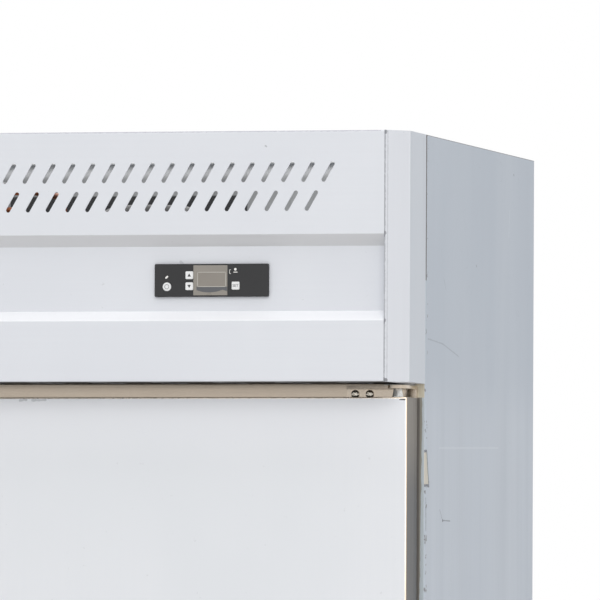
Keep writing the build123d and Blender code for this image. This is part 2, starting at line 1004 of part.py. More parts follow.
def condenser_coil():
    # tube sheets at both ends of the fins, with the return bends outside them
    y0 = fins_y - end_plate_margin
    y1 = fins_y + fins_depth
    right_plate = block(fins_right, fins_right + end_plate, y0, y1, unit_top, fins_top)
    left_plate = block(fins_left - end_plate, fins_left, y0, y1, unit_top, fins_top)
    middle_y = fins_y + fins_depth / 2
    bends = []
    for index in range(return_bends):
        right = index % 2 == 1
        x = fins_right + end_plate if right else fins_left - end_plate
        out = 1 if right else -1
        z = first_row_z + index * return_bend_pitch
        reach = x + out * return_bend_pitch * 0.7
        points = [
            (x, middle_y, z), (reach, middle_y, z),
            (reach, middle_y, z + return_bend_pitch), (x, middle_y, z + return_bend_pitch),
        ]
        bends.append(tube(points, condenser_tube_radius, return_bend_pitch * 0.45, tube_sides))
    return each(right_plate, left_plate, *bends)


def fan_shroud():
    opening = fan_radius + fan_tip_clearance
    plate = block(
        fins_left - end_plate, fins_right + end_plate, shroud_y - end_plate,
        shroud_y - end_plate + shroud_gauge, unit_top, fins_top,
    )
    ring_start = (fan_x, shroud_y - end_plate, fan_z)
    ring_end = (fan_x, strap_y, fan_z)
    ring = rod(opening + shroud_gauge, ring_start, ring_end)
    strap = block(
        fan_x - opening, fan_x + opening, strap_y, strap_y + shroud_gauge,
        fan_z - strap_width / 2, fan_z + strap_width / 2,
    )
    disc = rod(motor_radius, (fan_x, strap_y, fan_z), (fan_x, strap_y + shroud_gauge, fan_z))
    air_way = rod(opening, (fan_x, ring_start[1] - 1, fan_z), ring_end)
    shaft_hole = rod(
        shaft_radius + 1, (fan_x, strap_y - 1, fan_z), (fan_x, strap_y + 2 * shroud_gauge, fan_z)
    )
    return (plate + ring) - air_way + (strap + disc - shaft_hole)


def fan_motor():
    start = strap_y + shroud_gauge
    shell = rod(motor_radius, (fan_x, start, fan_z), (fan_x, start + motor_length, fan_z))
    shell = chamfer(shell.faces().sort_by(Axis.Y)[-1].edges(), 6)
    tip = fan_back_y - fan_hub_length + 6
    shaft = rod(shaft_radius, (fan_x, tip, fan_z), (fan_x, start, fan_z))
    return shell + shaft


def fan_blade():
    # twisted blade along +Z from the hub to past the rim
    chord = fan_blade_chord
    root = Rectangle(fan_blade_thickness, chord)
    root_face = Pos(0, 0, fan_hub_radius * 0.7) * Rot(0, 0, 90 - fan_root_pitch) * root
    tip_face = Pos(0, 0, fan_radius + 4) * Rot(0, 0, 90 - fan_tip_pitch) * root
    return loft([root_face, tip_face], ruled=True)


def condenser_fan():
    front = fan_back_y - fan_hub_length
    hub = rod(fan_hub_radius, (0, front, 0), (0, fan_back_y, 0))
    blade = Pos(0, front + fan_hub_length / 2, 0) * fan_blade()
    fan = hub
    for index in range(fan_blades):
        fan += Rot(0, index * 360 / fan_blades, 0) * blade
    limit = rod(fan_radius, (0, front, 0), (0, fan_back_y, 0))
    bore = rod(shaft_radius + shaft_clearance, (0, front + 5, 0), (0, fan_back_y + 1, 0))
    return Pos(fan_x, 0, fan_z) * ((fan & limit) - bore)


def compressor():
    # welded pot, its feet plate under it and the terminal cover against its front
    base = compressor_base
    top = base + compressor_height
    seam = base + compressor_height * 0.45
    radius = compressor_radius
    flat = radius - compressor_dome  # flat middle of the two domed ends
    seam_out = radius + compressor_seam
    outline = Polyline(
        (0, base), (radius, base), (radius, seam - compressor_seam),
        (seam_out, seam - compressor_seam), (seam_out, seam + compressor_seam),
        (radius, seam + compressor_seam), (radius, top), (0, top), close=True,
    )
    face = make_face(outline)
    rim = [v for v in face.vertices() if v.X > flat and (v.Y < base + 1 or v.Y > top - 1)]
    face = fillet(rim, compressor_dome)
    pot = Pos(compressor_x, compressor_y, 0) * revolve(Plane.XZ * face, Axis.Z)
    plate_low = base - compressor_foot_plate
    half_x = compressor_foot_width / 2
    half_y = compressor_foot_depth / 2
    feet = block(
        compressor_x - half_x, compressor_x + half_x,
        compressor_y - half_y, compressor_y + half_y, plate_low, base,
    )
    for sx in (-1, 1):
        for sy in (-1, 1):
            x = compressor_x + sx * (half_x - compressor_foot_inset)
            y = compressor_y + sy * (half_y - compressor_foot_inset)
            feet += rod(compressor_foot_radius, (x, y, unit_top), (x, y, plate_low))
    low = base + compressor_dome
    terminal = block(
        compressor_x - terminal_width / 2, compressor_x + terminal_width / 2,
        compressor_y - radius - terminal_depth, compressor_y - radius / 2,
        low, low + terminal_height,
    )
    middle = (compressor_x, compressor_y)
    terminal -= rod(seam_out, (*middle, low - 1), (*middle, low + terminal_height + 1))
    return each(pot, feet, terminal)


drier_left = fins_right + drier_from_fins
drier_y = unit_y + drier_from_front
drier_z = first_row_z
coil_y = fins_y + fins_depth / 2
coil_end = fins_right + end_plate + line_gap
lines_x = unit_right + lines_from_unit


def discharge_points():
    x = compressor_x - discharge_riser
    low = last_row_z - discharge_drop
    return [
        (compressor_x - compressor_radius - line_gap, compressor_y, low),
        (x, compressor_y, low),
        (x, compressor_y, last_row_z),
        (x, coil_y, last_row_z),
        (coil_end, coil_y, last_row_z),
    ]


def liquid_points():
    z = first_row_z
    x = fins_right + drier_from_fins / 2
    return [
        (coil_end, coil_y, z), (x, coil_y, z), (x, drier_y, z), (drier_left - line_gap, drier_y, z),
    ]


def capillary_points():
    right = drier_left + drier_length
    high = drier_z + capillary_rise
    x = right + capillary_run
    return [
        (right + line_gap, drier_y, drier_z),
        (x, drier_y, drier_z),
        (x, drier_y, high),
        (lines_x, drier_y, high),
        (lines_x, drier_y, deck_z + line_gap),
    ]


def suction_points():
    z = compressor_base + compressor_height * 0.62
    y = compressor_y - suction_step
    return [
        (compressor_x + compressor_radius + line_gap, compressor_y, z),
        (lines_x, compressor_y, z),
        (lines_x, y, z),
        (lines_x, y, deck_z + line_gap),
    ]


def refrigerant_lines():
    return each(
        tube(discharge_points(), discharge_radius, line_bend, tube_sides),
        tube(liquid_points(), liquid_radius, line_bend * 0.7, tube_sides),
        tube(capillary_points(), liquid_radius * 0.6, line_bend, tube_sides),
        tube(suction_points(), suction_radius, line_bend, tube_sides),
    )


def filter_drier():
    left, right = drier_left, drier_left + drier_length
    outline = Polyline(
        (left, 0), (left, liquid_radius + 1), (left + 14, drier_radius),
        (right - 14, drier_radius), (right, liquid_radius + 1), (right, 0), close=True,
    )
    return Pos(0, drier_y, drier_z) * revolve(Plane.XZ * make_face(outline), Axis.X)


def electrical_box():
    y = frame_y + electrical_back
    shell = block(
        electrical_x - electrical_width / 2, electrical_x + electrical_width / 2,
        y, y + electrical_depth, deck_z, deck_z + electrical_height,
    )
    return fillet(shell.edges().filter_by(Axis.Z), electrical_corner)


def cable_gland():
    z = deck_z + gland_height
    face = back_sheet_y + panel_gauge
    head = rod(gland_radius, (electrical_x, face, z), (electrical_x, rear_y + gland_stand_out, z))
    head = chamfer(head.faces().sort_by(Axis.Y)[-1].edges(), 2)
    thread = rod(
        gland_thread_radius, (electrical_x, back_sheet_y - gland_thread_length, z),
        (electrical_x, face, z),
    )
    nut = rod(
        gland_nut_radius, (electrical_x, back_sheet_y - gland_nut_thickness, z),
        (electrical_x, back_sheet_y, z),
    )
    bore = rod(
        gland_bore_radius, (electrical_x, back_sheet_y - gland_thread_length - 1, z),
        (electrical_x, rear_y + gland_stand_out + 1, z),
    )
    return head + thread + nut - bore


nodes = {
    "side_panel_right": side_panel(),
    "side_panel_left": mirrored(side_panel()),
    "back_panel": back_panel(),
    "base_tray": base_tray(),
    "deck_plate": deck_plate(),
    "foam_insulation": foam_insulation(),
    "inner_liner": inner_liner(),
    "front_frame": front_frame(),
    "centre_mullion": centre_mullion(),
    "cross_rails": cross_rails(),
    "header_fascia": header_fascia(),
    "corner_post_right": corner_post(),
    "corner_post_left": mirrored(corner_post()),
    "top_cover": top_cover(),
    "controller_housing": controller_housing(),
    "display_window": display_window(),
    "hinge_plates": hinge_plates(),
    "hinge_bushings": hinge_bushings(),
    "hinge_screws": hinge_screws(),
    "leg_sleeves": leg_sleeves(),
    "shelf_standards": shelf_standards(),
    "evaporator_coil": evaporator_coil(),
    "unit_base": unit_base(),
    "condenser_fins": condenser_fins(),
    "condenser_coil": condenser_coil(),
    "fan_shroud": fan_shroud(),
    "fan_motor": fan_motor(),
    "condenser_fan": condenser_fan(),
    "compressor": compressor(),
    "refrigerant_lines": refrigerant_lines(),
    "filter_drier": filter_drier(),
    "electrical_box": electrical_box(),
    "cable_gland": cable_gland(),
}
for name in button_names:
    nodes[name] = button(name)
for level, name in zip(shelf_levels, ("lower", "middle", "upper")):
    nodes["shelves_" + name] = shelf_pair(level)
for row, y in leg_ys.items():
    nodes["foot_" + row + "_left"] = foot(-leg_x, y)
    nodes["foot_" + row + "_right"] = foot(leg_x, y)
for row, bottom in (("upper", upper_bottom), ("lower", lower_bottom)):
    pieces = {
        "panel": door_panel(bottom),
        "liner": door_liner(bottom),
        "gasket": door_gasket(bottom),
        "handle": door_handle(bottom),
    }
    for piece, shape in pieces.items():
        nodes["door_" + row + "_right_" + piece] = shape
        nodes["door_" + row + "_left_" + piece] = mirrored(shape)

os.makedirs("parts", exist_ok=True)
for name, shape in nodes.items():
    export_step(shape, "parts/" + name + ".step")
print(len(nodes), "nodes")
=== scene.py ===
import json
import math
import random

import bmesh
import bpy
from mathutils import Matrix, Vector

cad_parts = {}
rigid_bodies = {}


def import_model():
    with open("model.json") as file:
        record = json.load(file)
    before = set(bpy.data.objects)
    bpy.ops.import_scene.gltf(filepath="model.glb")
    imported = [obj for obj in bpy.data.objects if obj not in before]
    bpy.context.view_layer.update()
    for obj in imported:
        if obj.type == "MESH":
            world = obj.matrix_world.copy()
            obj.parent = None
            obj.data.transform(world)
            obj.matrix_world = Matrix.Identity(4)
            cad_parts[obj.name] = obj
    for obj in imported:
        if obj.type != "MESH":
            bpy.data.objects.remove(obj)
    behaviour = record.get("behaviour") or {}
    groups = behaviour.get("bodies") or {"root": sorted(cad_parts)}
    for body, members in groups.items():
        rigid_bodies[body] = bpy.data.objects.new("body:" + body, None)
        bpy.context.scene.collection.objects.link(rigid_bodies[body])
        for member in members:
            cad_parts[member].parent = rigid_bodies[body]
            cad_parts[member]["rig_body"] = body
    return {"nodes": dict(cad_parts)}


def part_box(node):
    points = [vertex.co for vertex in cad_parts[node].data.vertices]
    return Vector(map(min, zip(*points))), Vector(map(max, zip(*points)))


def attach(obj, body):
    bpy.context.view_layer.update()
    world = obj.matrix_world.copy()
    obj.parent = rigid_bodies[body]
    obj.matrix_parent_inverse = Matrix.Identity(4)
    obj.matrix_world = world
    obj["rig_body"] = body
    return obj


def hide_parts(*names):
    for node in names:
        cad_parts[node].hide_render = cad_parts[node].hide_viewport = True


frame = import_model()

scene = bpy.context.scene
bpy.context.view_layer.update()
random.seed(11)
print("frame loaded,", len(frame["nodes"]), "nodes")


# Shader nodes: each helper returns the output sockets that the next one takes

def shade(colour):
    # screen levels, 0 to 255, as the linear values that shaders take
    levels = [value / 255 for value in colour]
    return tuple(v / 12.92 if v <= 0.04045 else ((v + 0.055) / 1.055) ** 2.4 for v in levels) + (1.0,)


def addNode(tree, kind, inputs=None, **settings):
    node = tree.nodes.new("ShaderNode" + kind)
    for key, value in settings.items():
        setattr(node, key, value)
    for key, value in (inputs or {}).items():
        if isinstance(value, bpy.types.NodeSocket):
            tree.links.new(value, node.inputs[key])
        else:
            node.inputs[key].default_value = value
    return node.outputs


def compute(tree, operation, *values, **settings):
    return addNode(tree, "Math", dict(enumerate(values)), operation=operation, **settings)[0]


def vectorMath(tree, operation, *values, result=0):
    return addNode(tree, "VectorMath", dict(enumerate(values)), operation=operation)[result]


def objectPlace(tree):
    return addNode(tree, "TexCoord")["Object"]


def split(tree, place):
    return addNode(tree, "SeparateXYZ", {0: place})


def noise(tree, place, scale, detail, **more):
    return addNode(tree, "TexNoise", {"Vector": place, "Scale": scale, "Detail": detail, **more})["Fac"]


def spread(tree, value, low, high, fromLow=0.3, fromHigh=0.7, curve="LINEAR"):
    # a value that wanders between low and high over the surface
    limits = {"From Min": fromLow, "From Max": fromHigh, "To Min": low, "To Max": high}
    return addNode(tree, "MapRange", {"Value": value, **limits}, interpolation_type=curve)[0]


def mixColour(tree, factor, first, second):
    # three numbers are a screen colour, four a linear one
    plain = [shade(tone) if isinstance(tone, tuple) and len(tone) == 3 else tone for tone in (first, second)]
    return addNode(tree, "Mix", {0: factor, 6: plain[0], 7: plain[1]}, data_type="RGBA", clamp_factor=True)[2]


# Shader node groups

def newGroup(name, inputs, outputs):
    group = bpy.data.node_groups.new(name, "ShaderNodeTree")
    for label, start in inputs.items():
        kind = "NodeSocketVector" if isinstance(start, tuple) else "NodeSocketFloat"
        group.interface.new_socket(name=label, in_out="INPUT", socket_type=kind).default_value = start
    for label in outputs:
        group.interface.new_socket(name=label, in_out="OUTPUT", socket_type="NodeSocketFloat")
    return group, group.nodes.new("NodeGroupInput").outputs, group.nodes.new("NodeGroupOutput").inputs


def giveOutputs(group, end, **values):
    for label, value in values.items():
        group.links.new(value, end[label])
    return group


def brushedGrainGroup():
    # fine drawn-out lines of brushed or rolled sheet
    inputs = {"Stretch": (4, 400, 400), "Cloud Scale": 3.0}
    group, start, end = newGroup("brushedGrain", inputs, ("Grain", "Cloud"))
    place = objectPlace(group)
    grain = noise(group, vectorMath(group, "MULTIPLY", place, start["Stretch"]), 1.0, 4.0, Roughness=0.6)
    cloud = noise(group, place, start["Cloud Scale"], 3.0, Roughness=0.5)
    return giveOutputs(group, end, Grain=grain, Cloud=cloud)


def filmGroup():
    # milky protective film: slow ripples, small trapped bubbles and dust
    inputs = {"Ripple Stretch": (5, 5, 1.2), "Bubble Scale": 95.0, "Bubble Amount": 0.5, "Dust Scale": 160.0}
    group, start, end = newGroup("protectiveFilm", inputs, ("Ripple", "Bubble", "Dust", "Height"))
    place = objectPlace(group)
    stretched = vectorMath(group, "MULTIPLY", place, start["Ripple Stretch"])
    ripple = noise(group, stretched, 1.0, 3.0, Roughness=0.45, Distortion=0.6)
    # bubbles sit in patches where the film has not been pressed down
    cells = addNode(group, "TexVoronoi", {"Vector": place, "Scale": start["Bubble Scale"]}, feature="F1")
    dome = spread(group, cells["Distance"], 1, 0, 0, 0.32, "SMOOTHSTEP")
    patch = spread(group, noise(group, place, 7.0, 2.0), 0, 1, 0.56, 0.7)
    bubble = compute(group, "MULTIPLY", compute(group, "MULTIPLY", dome, patch), start["Bubble Amount"])
    dust = spread(group, noise(group, place, start["Dust Scale"], 2.0), 0, 1, 0.74, 0.8)
    height = compute(group, "MULTIPLY_ADD", bubble, 0.6, ripple)
    return giveOutputs(group, end, Ripple=ripple, Bubble=bubble, Dust=dust, Height=height)


def mouldedGroup():
    # fine grain and slow unevenness of moulded plastic or enamel
    group, start, end = newGroup("mouldedSurface", {"Grain Scale": 1400.0, "Flow Scale": 14.0}, ("Grain", "Flow"))
    place = objectPlace(group)
    grain = noise(group, place, start["Grain Scale"], 2.0)
    flow = noise(group, place, start["Flow Scale"], 4.0, Roughness=0.6)
    return giveOutputs(group, end, Grain=grain, Flow=flow)


def strokeGroup():
    # mask of a thin mark between two points, with an uneven edge
    inputs = {"Start": (0, 0, 0), "End": (0, 0, 1), "Width": 0.0005}
    group, start, end = newGroup("strokeMark", inputs, ("Mask",))
    place = objectPlace(group)
    along = vectorMath(group, "SUBTRACT", start["End"], start["Start"])
    reach = vectorMath(group, "SUBTRACT", place, start["Start"])
    covered = vectorMath(group, "DOT_PRODUCT", reach, along, result="Value")
    whole = vectorMath(group, "DOT_PRODUCT", along, along, result="Value")
    share = compute(group, "DIVIDE", covered, whole, use_clamp=True)
    nearest = addNode(group, "VectorMath", {0: along, "Scale": share}, operation="SCALE")[0]
    away = vectorMath(group, "DISTANCE", reach, nearest, result="Value")
    limit = compute(group, "MULTIPLY", noise(group, place, 260.0, 2.0), start["Width"])
    return giveOutputs(group, end, Mask=compute(group, "LESS_THAN", away, limit))


groups = {"brushed": brushedGrainGroup(), "film": filmGroup(), "moulded": mouldedGroup(), "stroke": strokeGroup()}


# Materials

finish = {}


def newMaterial(name, **fixed):
    material = finish[name] = bpy.data.materials.new(name)
    material.use_nodes = True
    sockets = material.node_tree.nodes["Principled BSDF"].inputs
    for key, value in fixed.items():
        sockets[key.replace("_", " ")].default_value = value
    return material.node_tree, sockets


def placeGroup(tree, key, **values):
    inputs = {label.replace("_", " "): value for label, value in values.items()}
    return addNode(tree, "Group", inputs, node_tree=groups[key])


def setSurface(tree, sockets, colour, roughness, height, strength, distance):
    tree.links.new(colour, sockets["Base Color"])
    if roughness:
        tree.links.new(roughness, sockets["Roughness"])
    relief = addNode(tree, "Bump", {"Strength": strength, "Distance": distance, "Height": height})
    tree.links.new(relief[0], sockets["Normal"])


def tintAbove(tree, sockets, colour, low, high, amount=1.0):
    # another tone laid over the base colour between two heights, full from the upper one up
    base = sockets["Base Color"].links[0].from_socket
    rising = spread(tree, split(tree, objectPlace(tree))["Z"], 0, amount, low, high, "SMOOTHSTEP")
    tree.links.new(mixColour(tree, rising, base, colour), sockets["Base Color"])


def addMarks(tree, sockets, marks):
    # small scratches and creases laid over a finished material
    base = sockets["Base Color"].links[0].from_socket
    for start, end, width, tone, strength in marks:
        ends = [Vector(point) * 0.001 for point in (start, end)]
        mask = placeGroup(tree, "stroke", Start=ends[0], End=ends[1], Width=width * 0.002)["Mask"]
        base = mixColour(tree, spread(tree, mask, 0, strength, 0, 1), base, tone)
    tree.links.new(base, sockets["Base Color"])


def filmMaterial(name, colour, shadow, grainStretch, ripple, bubbles):
    tree, sockets = newMaterial(name, Specular_IOR_Level=0.4)
    film = placeGroup(tree, "film", Ripple_Stretch=ripple, Bubble_Amount=bubbles)
    grain = placeGroup(tree, "brushed", Stretch=grainStretch, Cloud_Scale=2.2)
    tone = mixColour(tree, spread(tree, grain["Cloud"], 0, 1, 0.35, 0.65), colour, shadow)
    streak = mixColour(tree, spread(tree, grain["Grain"], 0, 0.35), tone, shadow)
    # wide bands in a tone taken further than the shadow
    bands = spread(tree, placeGroup(tree, "brushed", Stretch=(2, 22, 0.7))["Grain"], 0, 0.35, 0.42, 0.66)
    deep = tuple(base + (low - base) * 2.6 for base, low in zip(shade(colour), shade(shadow)))
    banded = mixColour(tree, bands, streak, deep)
    dusty = mixColour(tree, spread(tree, film["Dust"], 0, 0.18, 0, 1), banded, (150, 150, 150))
    setSurface(tree, sockets, dusty, spread(tree, film["Ripple"], 0.42, 0.56), film["Height"], 0.35, 0.0012)
    return tree, sockets


def steelMaterial(name, bright, dark, grainStretch, roughness=(0.22, 0.36), strength=0.08, metallic=1.0):
    tree, sockets = newMaterial(name, Metallic=metallic)
    grain = placeGroup(tree, "brushed", Stretch=grainStretch, Cloud_Scale=5.0)
    tone = mixColour(tree, spread(tree, grain["Grain"], 0, 1), dark, bright)
    smudge = mixColour(tree, spread(tree, grain["Cloud"], 0, 0.5, 0.4, 0.75), tone, dark)
    setSurface(tree, sockets, smudge, spread(tree, grain["Grain"], *roughness), grain["Grain"], strength, 0.0003)
    return tree, sockets


def plasticMaterial(name, colour, worn, roughness=(0.35, 0.5), grainScale=1400.0, strength=0.12, **fixed):
    tree, sockets = newMaterial(name, **fixed)
    surface = placeGroup(tree, "moulded", Grain_Scale=grainScale, Flow_Scale=14.0)
    tone = mixColour(tree, spread(tree, surface["Flow"], 0, 1, 0.35, 0.7), colour, worn)
    setSurface(tree, sockets, tone, spread(tree, surface["Flow"], *roughness), surface["Grain"], strength, 0.0002)


flange = {
    "doorTop": 1.6335, "strip": 0.6028, "ragged": 0.0024,
    "lapLow": 0.6022, "lapHigh": 0.6050, "lapStart": 1.36, "lapStop": 1.64,
}


def flangeMaterial():
    # bare front flange of a side wall, with a dark strip of painted shade where the doors shadow it and a warm painted
    # light above the doors
    f = flange
    tree, sockets = newMaterial("flangeSteel", Metallic=0.25)
    grain = placeGroup(tree, "brushed", Stretch=(500, 500, 4), Cloud_Scale=5.0)["Grain"]
    place = objectPlace(tree)
    axes = split(tree, place)
    outward = compute(tree, "ABSOLUTE", axes["X"])
    # painted light: above the top of the doors the flange takes a warm lit tone
    high = compute(tree, "GREATER_THAN", axes["Z"], f["doorTop"])
    pastDoorShade = compute(tree, "GREATER_THAN", outward, f["strip"])
    # the film of the side wall laps over the edge, further down the wall
    lap = spread(tree, axes["Z"], f["lapLow"], f["lapHigh"], f["lapStart"], f["lapStop"])
    edge = compute(tree, "MULTIPLY_ADD", noise(tree, place, 70.0, 3.0), f["ragged"], lap)
    # below that, an olive tone of painted partial shade beside the door gap, and the lapped film in pale blue
    lower = mixColour(tree, compute(tree, "GREATER_THAN", outward, edge), (160, 155, 143), (208, 218, 224))
    steel = mixColour(tree, high, lower, (232, 222, 198))
    tone = mixColour(tree, spread(tree, grain, 0, 0.3), steel, (184, 186, 182))
    # painted shade: the door's shadow, a dark strip on the inner part of the flange
    colour = mixColour(tree, compute(tree, "MAXIMUM", high, pastDoorShade), (128, 123, 117), tone)
    setSurface(tree, sockets, colour, spread(tree, grain, 0.35, 0.5), grain, 0.08, 0.0003)


def galvanisedMaterial(name, shadePainting=None):
    # zinc spangle: angular grey crystals of slightly different brightness
    tree, sockets = newMaterial(name, Metallic=0.3)
    place = objectPlace(tree)
    crystal = {"Vector": place, "Scale": 60.0, "Exponent": 0.7}
    crystals = addNode(tree, "TexVoronoi", crystal, feature="F1", distance="MINKOWSKI")
    surface = placeGroup(tree, "moulded", Grain_Scale=500.0, Flow_Scale=6.0)
    facets = spread(tree, crystals["Color"], 0, 1, 0.1, 0.9)
    tone = mixColour(tree, facets, (176, 178, 179), (192, 194, 195))
    aged = mixColour(tree, spread(tree, surface["Flow"], 0, 0.6, 0.45, 0.75), tone, (162, 163, 163))
    # painted shade inside the back sheet: a dark patch in a box, the zinc around it darkened, and a pale band at the
    # top
    if shadePainting:
        axes = split(tree, place)
        covered = (255, 255, 255)
        for axis, (low, high) in shadePainting["box"].items():
            away = compute(tree, "ABSOLUTE", compute(tree, "SUBTRACT", axes[axis], (low + high) / 2))
            half = (high - low) / 2
            inside = spread(tree, away, 0, 1, half + shadePainting["fade"], half - shadePainting["fade"])
            covered = mixColour(tree, inside, (0, 0, 0), covered)
        # painted shade: the dark tone of the patch, where the compartment lies in shade
        shadeTone = mixColour(tree, spread(tree, surface["Grain"], 0, 1), (38, 38, 39), (58, 58, 60))
        # painted shade: the rest of the inside darker than the outer zinc
        bare = mixColour(tree, surface["Flow"], aged, (130, 131, 132))
        # painted light: a pale band at the top, against the shadow of the top cover
        hem = spread(tree, axes["Z"], 0, 1, *shadePainting["hem"], "SMOOTHSTEP")
        aged = mixColour(tree, hem, mixColour(tree, covered, bare, shadeTone), (242, 243, 244))
    setSurface(tree, sockets, aged, spread(tree, surface["Flow"], 0.4, 0.58), crystals["Distance"], 0.05, 0.0004)


# painted shade on the inside of the back sheet, behind the condensing unit, with a painted light band at its top
backShadePainting = {"box": {"X": (-0.53, 0.235), "Z": (1.66, 1.9085)}, "fade": 0.001, "hem": (1.928, 1.941)}

sideFlaws = {
    "front": -0.2600, "ragged": 0.004, "rim": 0.0035,
    "tearTop": 1.5675, "tearTall": 0.038, "tearWidth": 0.006, "tearWiden": 0.30,
    "fleckReach": 0.010, "gapShadeReach": 0.0030, "gapShadeBottom": 1.775, "topEdgeShade": 1.9491,
}


def wearSide(tree, sockets):
    # film worn back to bare sheet along the front edge and torn off in one place, with painted shade round the tear, in
    # the gap behind the corner post and along the top edge
    t = sideFlaws
    film = sockets["Base Color"].links[0].from_socket
    place = objectPlace(tree)
    axes = split(tree, place)

    def calc(operation, *values):
        return compute(tree, operation, *values)

    ragged = noise(tree, place, 55.0, 4.0, Roughness=0.7)
    wobble = calc("MULTIPLY_ADD", ragged, t["ragged"], -0.5 * t["ragged"])
    alongZ = calc("ADD", axes["Z"], wobble)
    fromFront = calc("SUBTRACT", calc("ADD", axes["Y"], wobble), t["front"])
    # torn flap: a tall narrow gap that widens downwards
    fromTop = calc("SUBTRACT", t["tearTop"], alongZ)
    width = calc("MULTIPLY_ADD", fromTop, t["tearWiden"], t["tearWidth"])

    def flap(reach, margin):
        across = calc("LESS_THAN", fromFront, reach)
        below = calc("GREATER_THAN", fromTop, 0 - margin)
        above = calc("LESS_THAN", fromTop, t["tearTall"] + margin)
        return calc("MULTIPLY", calc("MULTIPLY", across, below), above)

    tear = flap(width, 0.0)
    rim = calc("SUBTRACT", flap(calc("ADD", width, t["rim"]), t["rim"]), tear)
    # dark specks close to the front edge
    flecked = calc("GREATER_THAN", noise(tree, place, 150.0, 1.0), 0.66)
    fleck = calc("MULTIPLY", flecked, calc("LESS_THAN", fromFront, t["fleckReach"]))
    # fine scratches
    stretched = vectorMath(tree, "MULTIPLY", place, (9, 9, 4))
    line = calc("COMPARE", noise(tree, stretched, 1.0, 2.0, Distortion=1.6), 0.6, 0.0004)
    scuffed = mixColour(tree, calc("MULTIPLY", line, 0.35), film, (150, 156, 164))
    # painted shade: a dark line in the gap behind the corner post, and one along the top edge
    gap = calc("MULTIPLY", calc("LESS_THAN", fromFront, t["gapShadeReach"]), calc("GREATER_THAN", alongZ, t["gapShadeBottom"]))
    topEdgeShade = calc("MULTIPLY", calc("GREATER_THAN", axes["Z"], t["topEdgeShade"]), 0.6)
    edges = calc("MAXIMUM", calc("MAXIMUM", calc("MULTIPLY", fleck, 0.8), gap), topEdgeShade)
    specksAndShade = mixColour(tree, calc("MULTIPLY", edges, 0.9), scuffed, (104, 98, 96))
    # painted shade: a dark rim round the tear, the shadow of the curled film
    tearShaded = mixColour(tree, calc("MULTIPLY", rim, 0.85), specksAndShade, (96, 98, 104))
    tree.links.new(mixColour(tree, tear, tearShaded, (206, 200, 188)), sockets["Base Color"])
    tree.links.new(calc("MULTIPLY", tear, 0.7), sockets["Metallic"])


# start and end in mm, width in mm, tone, strength
filmMarks = {
    "fasciaFilm": [
        # painted shade: a dark line along the top edge
        ((-579, -374.6, 1949.6), (579, -374.6, 1949.6), 1.0, (160, 158, 170), 0.5),
        ((438.4, -375, 1931.8), (439.6, -375, 1931.2), 1.0, (150, 150, 154), 0.6),
        ((331, -360, 1794.5), (334.5, -360, 1790), 1.4, (176, 178, 184), 0.5),
        ((-212, -360, 1768), (-196, -360, 1771), 1.0, (190, 193, 199), 0.5),
    ],
    "doorFilm": [
        ((594, -328, 1629.6), (601.4, -328, 1629.6), 0.9, (70, 66, 64), 0.85),
        ((123, -328, 1629.2), (131, -328, 1629.6), 1.5, (178, 180, 184), 0.6),
        ((139, -328, 1629.0), (155, -328, 1629.5), 1.3, (186, 188, 192), 0.6),
        ((-340, -328, 1180), (-333, -328, 1171), 1.2, (180, 183, 188), 0.5),
        ((262, -328, 655), (271, -328, 648), 1.0, (180, 183, 188), 0.5),
    ],
    "postFilm": [
        ((584.6, -374.7, 1653), (587.4, -372, 1651.6), 2.2, (70, 72, 76), 0.7),
        ((585, -374.4, 1827.4), (585, -374.4, 1825.4), 2.2, (84, 86, 90), 0.6),
        ((585, -374.4, 1722.6), (585, -374.4, 1721), 2.2, (84, 86, 90), 0.6),
        ((585, -374.4, 1949.4), (585.4, -374, 1947.6), 2.4, (96, 98, 102), 0.6),
    ] + [
        ((side * x, y, 1949), (side * x, y, 1651), width, tone, strength)
        for side in (1, -1)
        for x, y, width, tone, strength in (
            (585.1, -374.3, 1.0, (120, 122, 128), 0.55), (587.9, -371.5, 0.8, (150, 152, 158), 0.3),
        )
    ],
    "sideFilm": [
        ((610, -180, 1500), (610, -164.2, 1487), 0.7, (120, 126, 136), 0.7),
        ((610, -164.2, 1487), (610, -122.6, 1486.8), 0.7, (120, 126, 136), 0.7),
        ((610, -164.5, 1487), (610, -162.0, 1487), 1.6, (92, 96, 104), 0.8),
        ((610, -185.3, 1574.4), (610, 149.8, 1581.1), 1.2, (216, 221, 228), 0.35),
        ((610, 235.8, 1926.4), (610, 237.4, 1925.6), 1.3, (110, 115, 122), 0.7),
        ((610, 20.4, 1803.5), (610, 22.0, 1802.5), 1.2, (120, 126, 134), 0.6),
        ((610, -256.6, 1512), (610, -255.4, 1474), 1.3, (86, 90, 96), 0.75),
        ((610, -248, 1704.6), (610, -167, 1701), 0.8, (150, 158, 168), 0.5),
        ((610, -167, 1701), (610, -78, 1688.4), 0.8, (150, 158, 168), 0.5),
        ((610, -163, 1781), (610, -150, 1767.7), 0.8, (150, 158, 168), 0.4),
        ((610, 214, 1880), (610, 207.5, 1846.5), 1.6, (208, 215, 223), 0.45),
        # painted shade: a dark line down the back edge
        ((610, 359.4, 1949), (610, 359.4, 1780), 1.0, (104, 98, 98), 0.55),
        ((-610, 120, 1240), (-610, 131, 1229), 0.9, (120, 126, 136), 0.6),
        ((-610, -40, 1702), (-610, -38, 1684), 0.8, (120, 126, 136), 0.6),
    ],
}

